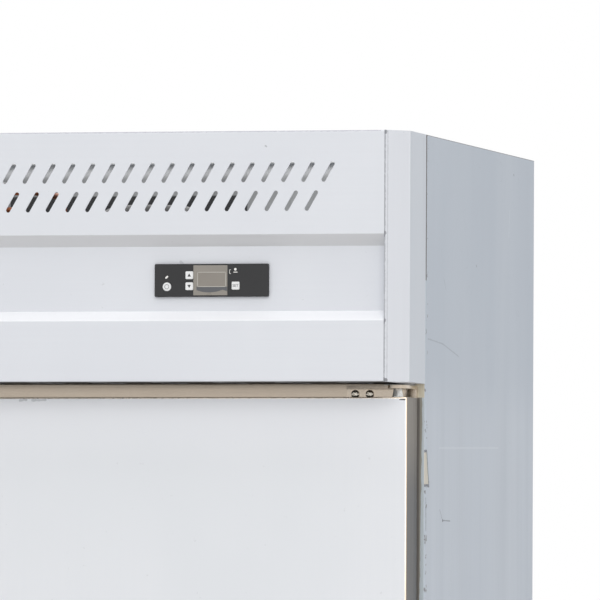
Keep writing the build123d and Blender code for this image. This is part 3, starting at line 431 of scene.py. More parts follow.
# colour, shadow, grain stretch, ripple stretch, bubbles
films = {
    "fasciaFilm": ((221, 223, 227), (215, 217, 222), (3, 3, 260), (5, 5, 9), 0.25),
    "litBevelFilm": ((243, 244, 246), (238, 239, 242), (3, 3, 260), (5, 5, 9), 0.1),
    "shadedBevelFilm": ((212, 212, 214), (206, 206, 208), (3, 3, 260), (5, 5, 9), 0.15),
    "postFilm": ((224, 226, 230), (218, 220, 225), (300, 300, 3), (9, 9, 2), 0.15),
    # the next two: a darker copy of the post film, painted shade on its flat side, and a lighter copy, a painted
    # highlight on its fold
    "postSideFilm": ((212, 217, 224), (207, 212, 219), (300, 300, 3), (9, 9, 2), 0.1),
    "postFold": ((232, 234, 237), (226, 229, 233), (300, 300, 3), (9, 9, 2), 0.1),
    "sideFilm": ((201, 208, 217), (194, 201, 210), (300, 220, 2), (6, 7, 1.4), 0.5),
    "doorFilm": ((227, 228, 231), (222, 224, 227), (260, 260, 3), (5, 5, 1.6), 0.35),
}
for name, values in films.items():
    tree, sockets = filmMaterial(name, *values)
    if name == "sideFilm":
        tintAbove(tree, sockets, (188, 196, 206), 1.60, 1.68, 0.8)
        wearSide(tree, sockets)
    elif name == "doorFilm":
        # painted light near the top of the upper doors, against the shadow of the header
        tintAbove(tree, sockets, (239, 240, 244), 1.545, 1.632, 0.75)
    addMarks(tree, sockets, filmMarks.get(name, ()))

# bright, dark, grain stretch, roughness, bump strength, metallic
steels = {
    # painted shade: a dark tone for the underside of the header
    "undersideFilm": ((92, 91, 90), (80, 79, 78), (3, 3, 260), (0.4, 0.5), 0.08, 0.2),
    # the next: a warm tone painted as the reflection on the top rail
    "warmSteel": ((206, 193, 177), (190, 177, 161), (4, 700, 700), (0.13, 0.24), 0.04),
    "railSteel": ((204, 202, 198), (190, 188, 184), (4, 700, 700), (0.2, 0.32), 0.04),
    "uprightSteel": ((204, 202, 198), (190, 188, 184), (700, 700, 4), (0.2, 0.32), 0.04),
    "foldSteel": ((240, 226, 206), (230, 214, 193), (300, 300, 6)),
    "foldShade": ((176, 152, 134), (160, 138, 122), (300, 300, 6), (0.3, 0.42), 0.08, 0.5),
    "legSteel": ((206, 204, 200), (184, 182, 178), (300, 300, 40), (0.22, 0.34)),
    "hingeSteel": ((222, 210, 194), (196, 182, 166), (200, 60, 60), (0.14, 0.24)),
    "screwSteel": ((250, 244, 232), (232, 224, 210), (60, 60, 60), (0.16, 0.26)),
    "finAluminium": ((216, 218, 220), (200, 203, 206), (200, 200, 10), (0.35, 0.5), 0.08, 0.3),
    "fanAluminium": ((196, 199, 202), (168, 171, 174), (90, 90, 90), (0.3, 0.42)),
    "castHandle": ((210, 211, 213), (186, 187, 190), (40, 40, 40), (0.14, 0.24), 0.04),
    # painted reflection: the door returns painted dark, as dark surroundings would show in the steel
    "doorEdgeSteel": ((88, 86, 86), (79, 78, 78), (400, 400, 5), (0.32, 0.45), 0.08, 0.5),
}
for name, values in steels.items():
    tree, sockets = steelMaterial(name, *values)
# painted reflection, warmer near the top of the upper doors
tintAbove(tree, sockets, (120, 113, 104), 1.50, 1.60)  # door edges, warmer near the top of the upper doors

# colour, worn colour, roughness, grain scale, bump strength
plastics = {
    "linerPlastic": ((226, 228, 228), (219, 221, 221), (0.3, 0.42), 420.0, 0.1),
    "blackEnamel": ((24, 24, 25), (38, 38, 39), (0.22, 0.4), 240.0, 0.08),
    "greyBoxPlastic": ((176, 178, 180), (164, 166, 168), (0.4, 0.55), 900.0, 0.2),
    "blackPlastic": ((30, 30, 31), (42, 42, 43), (0.4, 0.55), 900.0, 0.2),
    "coatedWire": ((222, 224, 226), (208, 210, 213), (0.25, 0.38), 500.0, 0.06),
    "whiteKey": ((232, 232, 232), (222, 222, 222), (0.3, 0.42), 900.0, 0.06),
    "darkMark": ((38, 38, 40), (52, 52, 54), (0.5, 0.6)),
    "paleMark": ((232, 230, 226), (214, 212, 208), (0.5, 0.6)),
    "letterMark": ((84, 84, 86), (76, 76, 78), (0.5, 0.6)),
    "greyMark": ((128, 128, 130), (118, 118, 120), (0.5, 0.6)),
    "lcdPanel": ((138, 132, 124), (132, 126, 118), (0.25, 0.35), 900.0, 0.03),
    "lcdSurround": ((136, 131, 123), (146, 140, 132), (0.25, 0.35), 300.0, 0.03),
    "lcdFrame": ((184, 180, 172), (174, 170, 162), (0.3, 0.4)),
    "lcdBand": ((86, 87, 90), (96, 97, 100), (0.25, 0.35)),
    "gasketRubber": ((102, 99, 97), (88, 86, 84), (0.55, 0.7), 800.0, 0.25),
}
for name, values in plastics.items():
    plasticMaterial(name, *values)
plasticMaterial("whiteNylon", (250, 249, 246), (240, 239, 235), (0.22, 0.34), Metallic=0.6)
plasticMaterial("controllerPlastic", (46, 46, 47), (52, 52, 53), (0.5, 0.6), 1500.0, 0.2, Specular_IOR_Level=0.3)


def copperMaterial():
    # drawn tube: bright where handled, brown where it has dulled
    tree, sockets = newMaterial("copperTube", Metallic=1.0)
    surface = placeGroup(tree, "moulded", Grain_Scale=300.0, Flow_Scale=26.0)
    tone = mixColour(tree, spread(tree, surface["Flow"], 0, 1, 0.4, 0.65), (222, 150, 112), (150, 88, 58))
    setSurface(tree, sockets, tone, spread(tree, surface["Flow"], 0.24, 0.45), surface["Grain"], 0.06, 0.0003)


def foamMaterial():
    tree, sockets = newMaterial("yellowFoam", Roughness=0.95)
    cells = addNode(tree, "TexVoronoi", {"Vector": objectPlace(tree), "Scale": 700.0})["Distance"]
    setSurface(tree, sockets, mixColour(tree, cells, (232, 214, 150), (214, 190, 118)), None, cells, 0.5, 0.0005)


flangeMaterial()
galvanisedMaterial("galvanisedSheet")
galvanisedMaterial("backInside", backShadePainting)
copperMaterial()
foamMaterial()
print("materials made,", len(finish))


# Mesh helpers

sides = (-1, 1)
corners = [(x, y) for x in sides for y in sides]


def closeMesh(work, name):
    mesh = bpy.data.meshes.new(name)
    work.to_mesh(mesh)
    work.free()
    return mesh


def addPiece(name, work, finishes, node, angle=35, edge=0.0, covers=True, recalculate=True):
    # one named piece riding with a CAD node, which it replaces if it covers it
    if recalculate:
        bmesh.ops.recalc_face_normals(work, faces=work.faces)
    mesh = closeMesh(work, name)
    obj = bpy.data.objects.new(name, mesh)
    scene.collection.objects.link(obj)
    for key in finishes.split():
        mesh.materials.append(finish[key])
    mesh.polygons.foreach_set("use_smooth", [True] * len(mesh.polygons))
    mesh.set_sharp_from_angle(angle=math.radians(angle))
    if edge:
        softEdge = obj.modifiers.new("softEdge", "BEVEL")
        softEdge.width, softEdge.segments = edge, 2
        softEdge.limit_method, softEdge.angle_limit = "ANGLE", math.radians(angle)
        softEdge.harden_normals = True
    obj.modifiers.new("flatFaces", "WEIGHTED_NORMAL").keep_sharp = True
    body, nodes = frame["nodes"][node]["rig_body"], [node]
    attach(obj, body)
    if covers:
        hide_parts(*nodes)
    return obj


def weldedNode(node):
    # the CAD node's own shape with its seams welded
    work = bmesh.new()
    work.from_mesh(frame["nodes"][node].data)
    bmesh.ops.remove_doubles(work, verts=work.verts, dist=1e-6)
    return work


def simplify(work):
    bmesh.ops.dissolve_limit(work, angle_limit=math.radians(0.4), verts=work.verts, edges=work.edges)


def dressNode(node, finishes, slotName, edge=0.0, angle=35, pick=None, name=None):
    # a CAD node with its edges softened and its finish on
    work = weldedNode(node)
    simplify(work)
    for face in work.faces:
        face.material_index = pick(face) if pick else 0
    return addPiece(name or node + "Skin", work, finishes, node, angle, edge, recalculate=False)


def middleOf(low, high):
    return [(a + b) / 2 for a, b in zip(low, high)]


def bentPath(points, bend, steps=6):
    # straight runs joined by arcs
    points = [Vector(point) for point in points]
    path = [points[0]]
    for before, corner, after in zip(points, points[1:], points[2:]):
        back, on = before - corner, after - corner
        half = back.angle(on) / 2
        cut = min(bend / math.tan(half), back.length * 0.49, on.length * 0.49)
        radius = cut * math.tan(half)
        centre = corner + (back.normalized() + on.normalized()).normalized() * (radius / math.sin(half))
        first, last = ((corner + leg.normalized() * cut - centre).normalized() for leg in (back, on))
        path += [centre + first.slerp(last, step / steps) * radius for step in range(steps + 1)]
    return path + [points[-1]]


def bridge(work, low, high, closed=True):
    # quads between two rows of vertices
    for index in range(len(low) if closed else len(low) - 1):
        following = (index + 1) % len(low)
        work.faces.new((low[index], low[following], high[following], high[index]))


def skin(work, rings, capped=True):
    for low, high in zip(rings, rings[1:]):
        bridge(work, low, high)
    for ring in (rings[0], rings[-1]) if capped else ():
        work.faces.new(ring)


def addPipe(work, path, radius, steps=16, closed=False):
    # round bar along a path, its rings carried on without twist
    path = [Vector(point) for point in path]
    count, rings, normal = len(path), [], None
    for index, point in enumerate(path):
        before = path[(index - 1) % count] if closed or index else point
        after = path[(index + 1) % count] if closed or index < count - 1 else point
        along = (after - before).normalized()
        if normal is None:
            normal = along.orthogonal().normalized()
        normal = (normal - along * normal.dot(along)).normalized()
        across = along.cross(normal)
        turns = [math.tau * step / steps for step in range(steps)]
        rings.append([work.verts.new(point + (normal * math.cos(t) + across * math.sin(t)) * radius) for t in turns])
    skin(work, rings + rings[:1] if closed else rings, not closed)


def circle(steps):
    return [math.tau * step / steps for step in range(steps)]


axisTurns = {
    "X": Matrix(((0, 0, 1), (0, 1, 0), (-1, 0, 0))),
    "Y": Matrix(((1, 0, 0), (0, 0, 1), (0, -1, 0))),
    "Z": Matrix.Identity(3),
}


def addTurned(work, outline, centre, axis="Z", steps=48):
    # outline of (radius, distance along the axis) turned about the axis through centre
    joined, rings = outline[0] == outline[-1], []
    for radius, along in outline[:-1] if joined else outline:
        ring = []
        for step in range(steps if radius else 1):
            turn = math.tau * step / steps
            spoke = Vector((radius * math.cos(turn), radius * math.sin(turn), along))
            ring.append(work.verts.new(Vector(centre) + axisTurns[axis] @ spoke))
        rings.append(ring)
    if joined:
        rings.append(rings[0])
    for low, high in zip(rings, rings[1:]):
        for step in range(steps):
            pairs = ((low, step), (low, step + 1), (high, step + 1), (high, step))
            unique = list(dict.fromkeys(ring[at % steps % len(ring)] for ring, at in pairs))
            if len(unique) > 2:
                work.faces.new(unique)
    for ring in () if joined else (rings[0], rings[-1]):
        if len(ring) > 1:
            work.faces.new(ring)


def addBox(work, low, high, rounding=0.0, segments=2):
    made = bmesh.ops.create_cube(work, size=1.0)["verts"]
    for vert in made:
        vert.co = Vector(low[i] if vert.co[i] < 0 else high[i] for i in range(3))
    if rounding:
        edges = {edge for vert in made for edge in vert.link_edges}
        bmesh.ops.bevel(work, geom=list(edges), offset=rounding, segments=segments, affect="EDGES", profile=0.5)


def addFolded(work, line, gauge, bend, start, stop):
    # folded sheet: a line of (y, z), thickened to its left, drawn out along X
    path = bentPath([(y, z, 0) for y, z in line], bend, 5)
    inner = []
    for index, point in enumerate(path):
        run = (path[min(index + 1, len(path) - 1)] - path[max(index - 1, 0)]).normalized()
        inner.append(point + Vector((-run.y, run.x, 0)) * gauge)
    section = path + inner[::-1]
    ends = [[work.verts.new((x, point.x, point.y)) for point in section] for x in (start, stop)]
    bridge(work, *ends)
    last = len(section) - 1
    for ring in ends:  # ends in small quads, so that a bent strip fills cleanly
        for index in range(len(path) - 1):
            work.faces.new((ring[index], ring[index + 1], ring[last - 1 - index], ring[last - index]))


def evaluatedMesh(holder):
    return bpy.data.meshes.new_from_object(holder.evaluated_get(bpy.context.evaluated_depsgraph_get()))


def curveMesh(name, curve):
    holder = bpy.data.objects.new(name + "Curve", curve)
    scene.collection.objects.link(holder)
    mesh = evaluatedMesh(holder)
    bpy.data.objects.remove(holder)
    bpy.data.curves.remove(curve)
    return mesh


def addMesh(work, mesh, place):
    # a mesh laid into the work at a place; the mesh itself stays as it was
    piece = bmesh.new()
    piece.from_mesh(mesh)
    piece.transform(place)
    holder = closeMesh(piece, "holder")
    work.from_mesh(holder)
    bpy.data.meshes.remove(holder)


def addPunched(work, outline, holes, gauge, place):
    # flat sheet with holes, drawn in its own plane and centred on its gauge
    curve = bpy.data.curves.new("punched", "CURVE")
    curve.dimensions, curve.fill_mode, curve.extrude = "2D", "BOTH", gauge / 2
    for loop in [outline, *holes]:
        spline = curve.splines.new("POLY")
        spline.points.add(len(loop) - 1)
        for point, (x, y) in zip(spline.points, loop):
            point.co = (x, y, 0, 1)
        spline.use_cyclic_u = True
    sheet = bmesh.new()
    sheet.from_mesh(curveMesh("punched", curve))
    bmesh.ops.remove_doubles(sheet, verts=sheet.verts, dist=1e-6)
    addMesh(work, closeMesh(sheet, "punched"), place)


def roundEnded(x, y, length, width, angle, steps=8):
    # outline of a slot with round ends, its long axis turned from +X by the angle
    reach, points = length / 2 - width / 2, []
    for end in (1, -1):
        middleX, middleY = x + end * math.cos(angle) * reach, y + end * math.sin(angle) * reach
        for step in range(steps + 1):
            turn = angle + (0 if end > 0 else math.pi) - math.pi / 2 + math.pi * step / steps
            points.append((middleX + math.cos(turn) * width / 2, middleY + math.sin(turn) * width / 2))
    return points


def roundedRectangle(x, y, width, height, radius, steps=6):
    points = []
    for turnX, turnY, start in ((1, -1, -90), (1, 1, 0), (-1, 1, 90), (-1, -1, 180)):
        middleX, middleY = x + turnX * (width / 2 - radius), y + turnY * (height / 2 - radius)
        for step in range(steps + 1):
            turn = math.radians(start + 90 * step / steps)
            points.append((middleX + math.cos(turn) * radius, middleY + math.sin(turn) * radius))
    return points


def addSlab(work, outline, front, back, edge=0.0):
    # outline of (x, z) drawn out from front to back, with an optional chamfer round the front
    xs, zs = zip(*outline)
    middleX, middleZ = sum(xs) / len(xs), sum(zs) / len(zs)
    width, height = max(xs) - min(xs), max(zs) - min(zs)
    rings = []
    toward = edge if back > front else -edge
    for depth, inset in ((front, edge), (front + toward, 0), (back, 0)) if edge else ((front, 0), (back, 0)):
        wide, tall = 1 - 2 * inset / width, 1 - 2 * inset / height
        ring = [(middleX + (x - middleX) * wide, depth, middleZ + (z - middleZ) * tall) for x, z in outline]
        rings.append([work.verts.new(point) for point in ring])
    skin(work, rings)


# Header fascia

header = {
    "halfWidth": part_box("header_fascia")[1][0] + 0.0005, "front": -0.375, "recess": -0.360, "top": 1.950,
    "ventBottom": 1.826, "recessTop": 1.8125, "recessBottom": 1.7345, "visorTop": 1.723, "bottom": 1.650,
    "topReturn": 0.025, "gauge": 0.0012, "bend": 0.0018, "endFlange": 0.012, "endInset": 0.0004,
    "ventLap": (0.003, 0.004),
    "slot": (0.0275, 0.0053), "slotSlant": 30, "slotPitch": 0.02465, "slotsPerRow": 42,
    "rows": ((1.9006, 0.01022), (1.8660, -0.01022)),
    "underSlot": (0.062, 0.006), "underSlots": 15, "underPitch": 0.0767, "underMiddle": -0.3175,
    "underLap": 0.005, "underBack": -0.238,
}


def slotRow(count, pitch, shift, y, size):
    angle = math.radians(90 - header["slotSlant"])
    return [roundEnded((index - (count - 1) / 2) * pitch + shift, y, *size, angle) for index in range(count)]


def buildHeader():
    h = header
    half, gauge, front, bottom = h["halfWidth"], h["gauge"], h["front"], h["bottom"]
    low, high = h["ventBottom"] + h["ventLap"][0], h["top"] - h["ventLap"][1]
    vents = [slot for z, shift in h["rows"] for slot in slotRow(h["slotsPerRow"], h["slotPitch"], shift, z, h["slot"])]
    work = bmesh.new()
    upright = Matrix(((1, 0, 0, 0), (0, 0, -1, front + gauge / 2), (0, 1, 0, 0), (0, 0, 0, 1)))
    addPunched(work, [(-half, low), (half, low), (half, high), (-half, high)], vents, gauge, upright)
    under = slotRow(h["underSlots"], h["underPitch"], 0, h["underMiddle"], h["underSlot"])
    edge, back = front + h["underLap"], h["underBack"]
    flat = Matrix.Translation((0, 0, bottom + gauge / 2))
    addPunched(work, [(-half, edge), (half, edge), (half, back), (-half, back)], under, gauge, flat)
    lower = [
        (front, low), (front, h["ventBottom"]), (h["recess"], h["recessTop"]), (h["recess"], h["recessBottom"]),
        (front, h["visorTop"]), (front, bottom), (edge, bottom),
    ]
    addFolded(work, lower, gauge, h["bend"], -half, half)
    addFolded(work, [(front + h["topReturn"], h["top"]), (front, h["top"]), (front, high)], gauge, h["bend"], -half, half)
    inset = h["endInset"]  # keeps the end flanges clear of the faces they stiffen
    line = [(front, h["top"])] + lower[1:-1]
    band = [(y + inset, min(max(z, bottom + inset), h["top"] - inset)) for y, z in line]
    for side in sides:
        addFolded(work, band, h["endFlange"], 0.0001, side * half, side * (half - gauge))
    work.normal_update()
    bmesh.ops.recalc_face_normals(work, faces=work.faces)
    for face in work.faces:
        face.material_index = headerFaces(face)
    finishes = "fasciaFilm litBevelFilm shadedBevelFilm undersideFilm"
    addPiece("headerFascia", work, finishes, "header_fascia", 25)


def headerFaces(face):
    # painted shade on the underside, and lighter and darker copies of the film on the slopes of the recess, painted
    # light and painted shade
    middle, normal = face.calc_center_median(), face.normal
    if normal.z < -0.9 and middle.z < header["bottom"] + 0.001:
        return 3
    slopes = header["visorTop"] - 0.002 < middle.z < header["ventBottom"] + 0.002
    if abs(normal.y) < 0.3 or normal.y > 0 or not slopes:
        return 0
    return 1 if normal.z > 0.3 else (2 if normal.z < -0.3 else 0)


def bareFlange(face):
    return 1 if face.normal.y < -0.97 else (2 if face.normal.y > 0.97 else 0)


def postFaces(face):
    # slanted front; a lighter copy of the film on the fold, a painted highlight; a darker copy on the flat side,
    # painted shade
    if abs(face.normal.x) > 0.99:
        return 2
    return 1 if -0.66 < face.normal.y < -0.05 and abs(face.normal.x) > 0.76 else 0


buildHeader()
for side in ("right", "left"):
    dressNode("corner_post_" + side, "postFilm postFold postSideFilm", "film_on_steel", 0, 40, postFaces)
    dressNode("side_panel_" + side, "sideFilm flangeSteel uprightSteel", "film_on_steel", 0, 40, bareFlange)
print("header and outer sheets made")


# Sheet metal carried over from the CAD

def frameFaces(face):
    # faces above 1.5 m, the top rail, take the warm steel, its warmth a painted reflection
    return 0 if face.calc_center_median().z > 1.5 else 1


def backFaces(face):
    return 1 if face.normal.y < -0.9 else 0


sheetPieces = {
    "base_tray": ("galvanisedSheet", "galvanised_steel"),
    "deck_plate": ("galvanisedSheet", "galvanised_steel"),
    "unit_base": ("galvanisedSheet", "galvanised_steel"),
    "fan_shroud": ("galvanisedSheet", "galvanised_steel"),
    "foam_insulation": ("yellowFoam", "insulating_foam"),
    "inner_liner": ("linerPlastic", "white_liner"),
    "centre_mullion": ("uprightSteel", "stainless_steel"),
    "cross_rails": ("railSteel", "stainless_steel"),
    "shelf_standards": ("uprightSteel", "stainless_steel"),
    "hinge_plates": ("hingeSteel", "stainless_steel"),
    "front_frame": ("warmSteel railSteel", "stainless_steel", frameFaces),
    "back_panel": ("galvanisedSheet backInside", "galvanised_steel", backFaces),
}
for node, (finishes, slotName, *pick) in sheetPieces.items():
    dressNode(node, finishes, slotName, 0.0004, 30, *pick)

topCover = {"gauge": 0.0010, "bend": 0.0006, "lip": 0.0018}


def buildTopCover():
    low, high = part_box("top_cover")
    work = bmesh.new()
    line = [(high.y, high.z), (low.y, high.z), (low.y, high.z - topCover["lip"])]
    addFolded(work, line, topCover["gauge"], topCover["bend"], low.x, high.x)
    addPiece("topCover", work, "galvanisedSheet", "top_cover", 30)


buildTopCover()
print("sheet metal dressed")


# Doors

def doorFaces(face):
    # film on the front, bright bare steel round the bend, a band of painted shade beyond it, and steel painted dark on
    # the returns, a painted reflection
    if face.normal.y < -0.9:
        return 0
    return 1 if face.normal.y < -0.5 else (3 if face.normal.y < -0.05 else 2)


for row in ("upper", "lower"):
    for side in ("right", "left"):
        node = "door_" + row + "_" + side + "_panel"
        dressNode(node, "doorFilm foldSteel doorEdgeSteel foldShade", "film_on_steel", 0, 50, doorFaces)
print("doors made")


# Hinge screws and bushings

screwShape = {"radius": 0.005, "height": 0.003, "shank": 0.0025, "cross": (0.0060, 0.0014), "crossDepth": 0.0019}


def screwMesh():
    # pan head with a cross recess, its axis along Y and its seat at Y 0
    radius, height, shank = (screwShape[key] for key in ("radius", "height", "shank"))
    work = bmesh.new()
    dome = [(radius * wide, -height * tall) for wide, tall in ((1, 0.35), (0.93, 0.68), (0.72, 0.9), (0.4, 1))]
    addTurned(work, [(shank, 0.004), (shank, 0), (radius, 0), *dome, (0, -height)], (0, 0, 0), "Y", 40)
    cutter = bmesh.new()
    for wide, tall in (screwShape["cross"], screwShape["cross"][::-1]):
        bottom = -height + screwShape["crossDepth"]
        addBox(cutter, (-wide / 2, -height - 0.001, -tall / 2), (wide / 2, bottom, tall / 2))
    pair = []
    for name, made in (("screwHead", work), ("crossTool", cutter)):
        bmesh.ops.recalc_face_normals(made, faces=made.faces)
        pair.append(bpy.data.objects.new(name, closeMesh(made, name)))
        scene.collection.objects.link(pair[-1])
    cut = pair[0].modifiers.new("cross", "BOOLEAN")
    cut.object, cut.operation, cut.solver, cut.use_self = pair[1], "DIFFERENCE", "EXACT", True
    mesh = evaluatedMesh(pair[0])
    for obj in pair:
        bpy.data.objects.remove(obj)
    return mesh


def looseParts(node):
    # the low and high corner of each separate solid of a CAD node
    work = weldedNode(node)
    seen, parts = set(), []
    for vert in work.verts:
        if vert in seen:
            continue
        stack, group = [vert], []
        seen.add(vert)
        while stack:
            current = stack.pop()
            group.append(current.co.copy())
            for edge in current.link_edges:
                other = edge.other_vert(current)
                if other not in seen:
                    seen.add(other)
                    stack.append(other)
        parts.append([Vector(pick(co[i] for co in group) for i in range(3)) for pick in (min, max)])
    work.free()
    return parts


def buildHingeFittings():
    work, screw = bmesh.new(), screwMesh()
    for low, high in looseParts("hinge_screws"):
        turn = Matrix.Rotation(random.uniform(0, math.pi / 2), 4, "Y")
        x, y, z = middleOf(low, high)
        addMesh(work, screw, Matrix.Translation((x, low.y + screwShape["height"], z)) @ turn)
    addPiece("hingeScrews", work, "screwSteel", "hinge_screws", 30)

    work, bore, collar, bend = bmesh.new(), 0.0041, 0.005, 0.0004
    for low, high in looseParts("hinge_bushings"):
        foot, tall = (high.x - low.x) / 2, high.z - low.z
        top = collar if tall > 0.008 else foot
        lip = min(0.0012, tall / 4)
        outline = [
            (bore, 0), (foot - bend, 0), (foot, bend), (foot, lip), (foot - 0.0005, lip + 0.0003),
            (top, tall - bend), (top - bend, tall), (bore, tall), (bore, 0),
        ]
        x, y, z = middleOf(low, high)
        addTurned(work, outline, (x, y, low.z), "Z", 40)
    addPiece("hingeBushings", work, "whiteNylon", "hinge_bushings", 30)


buildHingeFittings()
print("hinge fittings made")


# Controller

plateLow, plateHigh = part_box("controller_housing")
controller = {
    "x": (plateLow.x + plateHigh.x) / 2, "z": (plateLow.z + plateHigh.z) / 2,
    "front": plateLow.y, "recess": -0.360, "boxWidth": 0.122, "ribs": 7, "ribPitch": 0.005, "ribHalf": 0.011,
    "windowX": -0.0011, "windowWidth": 0.042, "windowHeight": 0.036,
    "lcdX": 0.0016, "lcdZ": 0.0010, "lcdWidth": 0.0346, "lcdHeight": 0.0172, "lcdRing": 0.0008,
    "bandRight": 0.0208, "bandLeft": -0.0170,
    "lampX": 0.0296, "lampZ": 0.0130, "lampRadius": 0.0016, "bracketX": 0.0232, "bracketZ": 0.0102,
    "ovalX": -0.0551, "ovalZ": 0.0038, "print": 0.00006,
}


def buildController():
    c = controller
    x, z, front = c["x"], c["z"], c["front"]
    dressNode("controller_housing", "controllerPlastic", "dark_grey_plastic", 0, 20, None, "controllerHousing")
    work = bmesh.new()
    for slot in range(c["ribs"]):  # ribs down the sides of the box behind the fascia
        y = c["recess"] + 0.006 + slot * c["ribPitch"]
        for side in sides:
            outer = x + side * c["boxWidth"] / 2
            inner = outer - side * 0.001
            low, high = (min(outer, inner), y, z - c["ribHalf"]), (max(outer, inner), y + 0.0015, z + c["ribHalf"])
            addBox(work, low, high, 0.0003)
    addPiece("controllerRibs", work, "controllerPlastic", "controller_housing", 30, covers=False)

    windowX = x + c["windowX"]
    lcdX, lcdZ, width, height = windowX + c["lcdX"], z + c["lcdZ"], c["lcdWidth"], c["lcdHeight"]

    def addLcd(name, outline, back, ahead, key, covers=False):
        work = bmesh.new()
        addSlab(work, outline, front - ahead, front - back)
        addPiece(name, work, key, "display_window", 30, covers=covers)

    window = roundedRectangle(windowX, z, c["windowWidth"], c["windowHeight"], 0.0006)
    addLcd("lcdPanel", window, -0.0008, 0.0003, "lcdSurround", True)
    addLcd("lcdScreen", roundedRectangle(lcdX, lcdZ, width, height, 0.0003), 0.0002, 0.00036, "lcdPanel")
    work, ring = bmesh.new(), c["lcdRing"] / 2
    for x0, x1, z0, z1 in ((-1, 1, 1, 1), (-1, 1, -1, -1), (-1, -1, -1, 1), (1, 1, -1, 1)):
        low = (lcdX + x0 * width / 2 - ring, front - 0.0005, lcdZ + z0 * height / 2 - ring)
        addBox(work, low, (lcdX + x1 * width / 2 + ring, front - 0.0002, lcdZ + z1 * height / 2 + ring))
    addPiece("lcdFrame", work, "lcdFrame", "display_window", covers=False)
    # dark curved band under the digits, its lower edge bowed: a painted reflection in the window
    right, left, top = windowX + c["bandRight"], windowX + c["bandLeft"], lcdZ - height / 2 - 0.0004
    outline = [(left, top), (right, top), (right, top - 0.0050)]
    for part in (step / 12 for step in range(13)):
        bow = 0.0056 * math.sin(math.pi * (0.92 - 0.82 * part)) ** 0.6
        outline.append((right - 0.006 - part * (right - 0.006 - left), top - 0.0010 - bow))
    addLcd("lcdBand", outline, 0.0002, 0.00045, "lcdBand")

    # pale printed marks: lamp dot and its line, bracket, and a slanted indicator
    work = bmesh.new()
    dotX, dotZ, radius = x + c["lampX"], z + c["lampZ"], c["lampRadius"]
    dot = [(dotX + radius * math.cos(turn), dotZ + radius * math.sin(turn)) for turn in circle(20)]
    oval = roundEnded(x + c["ovalX"], z + c["ovalZ"], 0.0044, 0.0022, math.radians(45), 6)
    for outline in (dot, oval, roundedRectangle(dotX + 0.0002, dotZ - 0.0034, 0.0052, 0.0010, 0.0004)):
        addSlab(work, outline, front - c["print"], front + 0.0003)
    bracketX, bracketZ = x + c["bracketX"], z + c["bracketZ"]
    for x1, z0, z1 in ((-0.0004, -0.0026, 0.0026), (0.0010, 0.0020, 0.0026), (0.0010, -0.0026, -0.0020)):
        low = (bracketX - 0.0010, front - c["print"], bracketZ + z0)
        addBox(work, low, (bracketX + x1, front + 0.0003, bracketZ + z1))
    addPiece("controllerMarks", work, "paleMark", "controller_housing", covers=False)


buildController()

keys = {
    "power_button": {"shape": "round", "ring": 0.0026},
    "up_button": {"shape": "square", "arrow": 1},
    "down_button": {"shape": "square", "arrow": -1},
    "set_button": {"shape": "square", "letters": "SET"},
}


def lettering(text, place, height):
    # raised generic words on a key, facing the front
    curve = bpy.data.curves.new(text, "FONT")
    curve.body, curve.size, curve.extrude = text, height * 1.4, 0.00012
    curve.align_x, curve.align_y = "CENTER", "CENTER"
    mesh = curveMesh(text, curve)
    mesh.materials.clear()
    mesh.transform(Matrix.Translation(place) @ Matrix.Rotation(math.pi / 2, 4, "X"))
    work = bmesh.new()
    work.from_mesh(mesh)
    return work


def buildKey(node, key):
    low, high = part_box(node)
    x, y, z = middleOf(low, high)
    front, name = low.y, node.replace("_button", "")
    work = bmesh.new()
    if key["shape"] == "round":
        radius = (high.x - low.x) / 2
        dish = ((0.45, 0.0001), (0.55, 0.0), (0.62, 0.0003), (0.7, 0.0), (0.88, 0.0001), (1, 0.0007))
        outline = [(radius * share, depth) for share, depth in dish]
        addTurned(work, [(0, 0.0002), *outline, (radius, high.y - front)], (x, front, z), "Y", 48)
    else:
        addSlab(work, roundedRectangle(x, z, high.x - low.x, high.z - low.z, 0.0014), front, high.y, 0.0005)
    addPiece(name + "Key", work, "whiteKey", node, 30)

    def addMark(suffix, work, key, recalculate=True):
        addPiece(name + suffix, work, key, node, covers=False, recalculate=recalculate)

    if "arrow" in key:
        work, half, size = bmesh.new(), 0.0022, 0.0021 * key["arrow"]
        outline = [(x - half, z - size * 0.8), (x + half, z - size * 0.8), (x, z + size)]
        addSlab(work, outline if key["arrow"] > 0 else outline[::-1], front - 0.00003, front + 0.0002)
        addMark("Arrow", work, "darkMark")
    if "ring" in key:
        work, radius = bmesh.new(), key["ring"]
        path = [(x + radius * math.cos(turn), front + 0.00005, z + radius * math.sin(turn)) for turn in circle(32)]
        addPipe(work, path, 0.0003, 6, True)
        addMark("Ring", work, "greyMark")
    if "letters" in key:
        addMark("Letters", lettering(key["letters"], (x, front, z), 0.0034), "letterMark", False)


for node, key in keys.items():
    buildKey(node, key)
print("controller made")


# Wire shelves

shelf = {
    "border": 0.0038, "wire": 0.0018, "support": 0.0024, "pitch": 0.021, "corner": 0.012, "supports": 3,
    "innerEdge": 0.010,
}


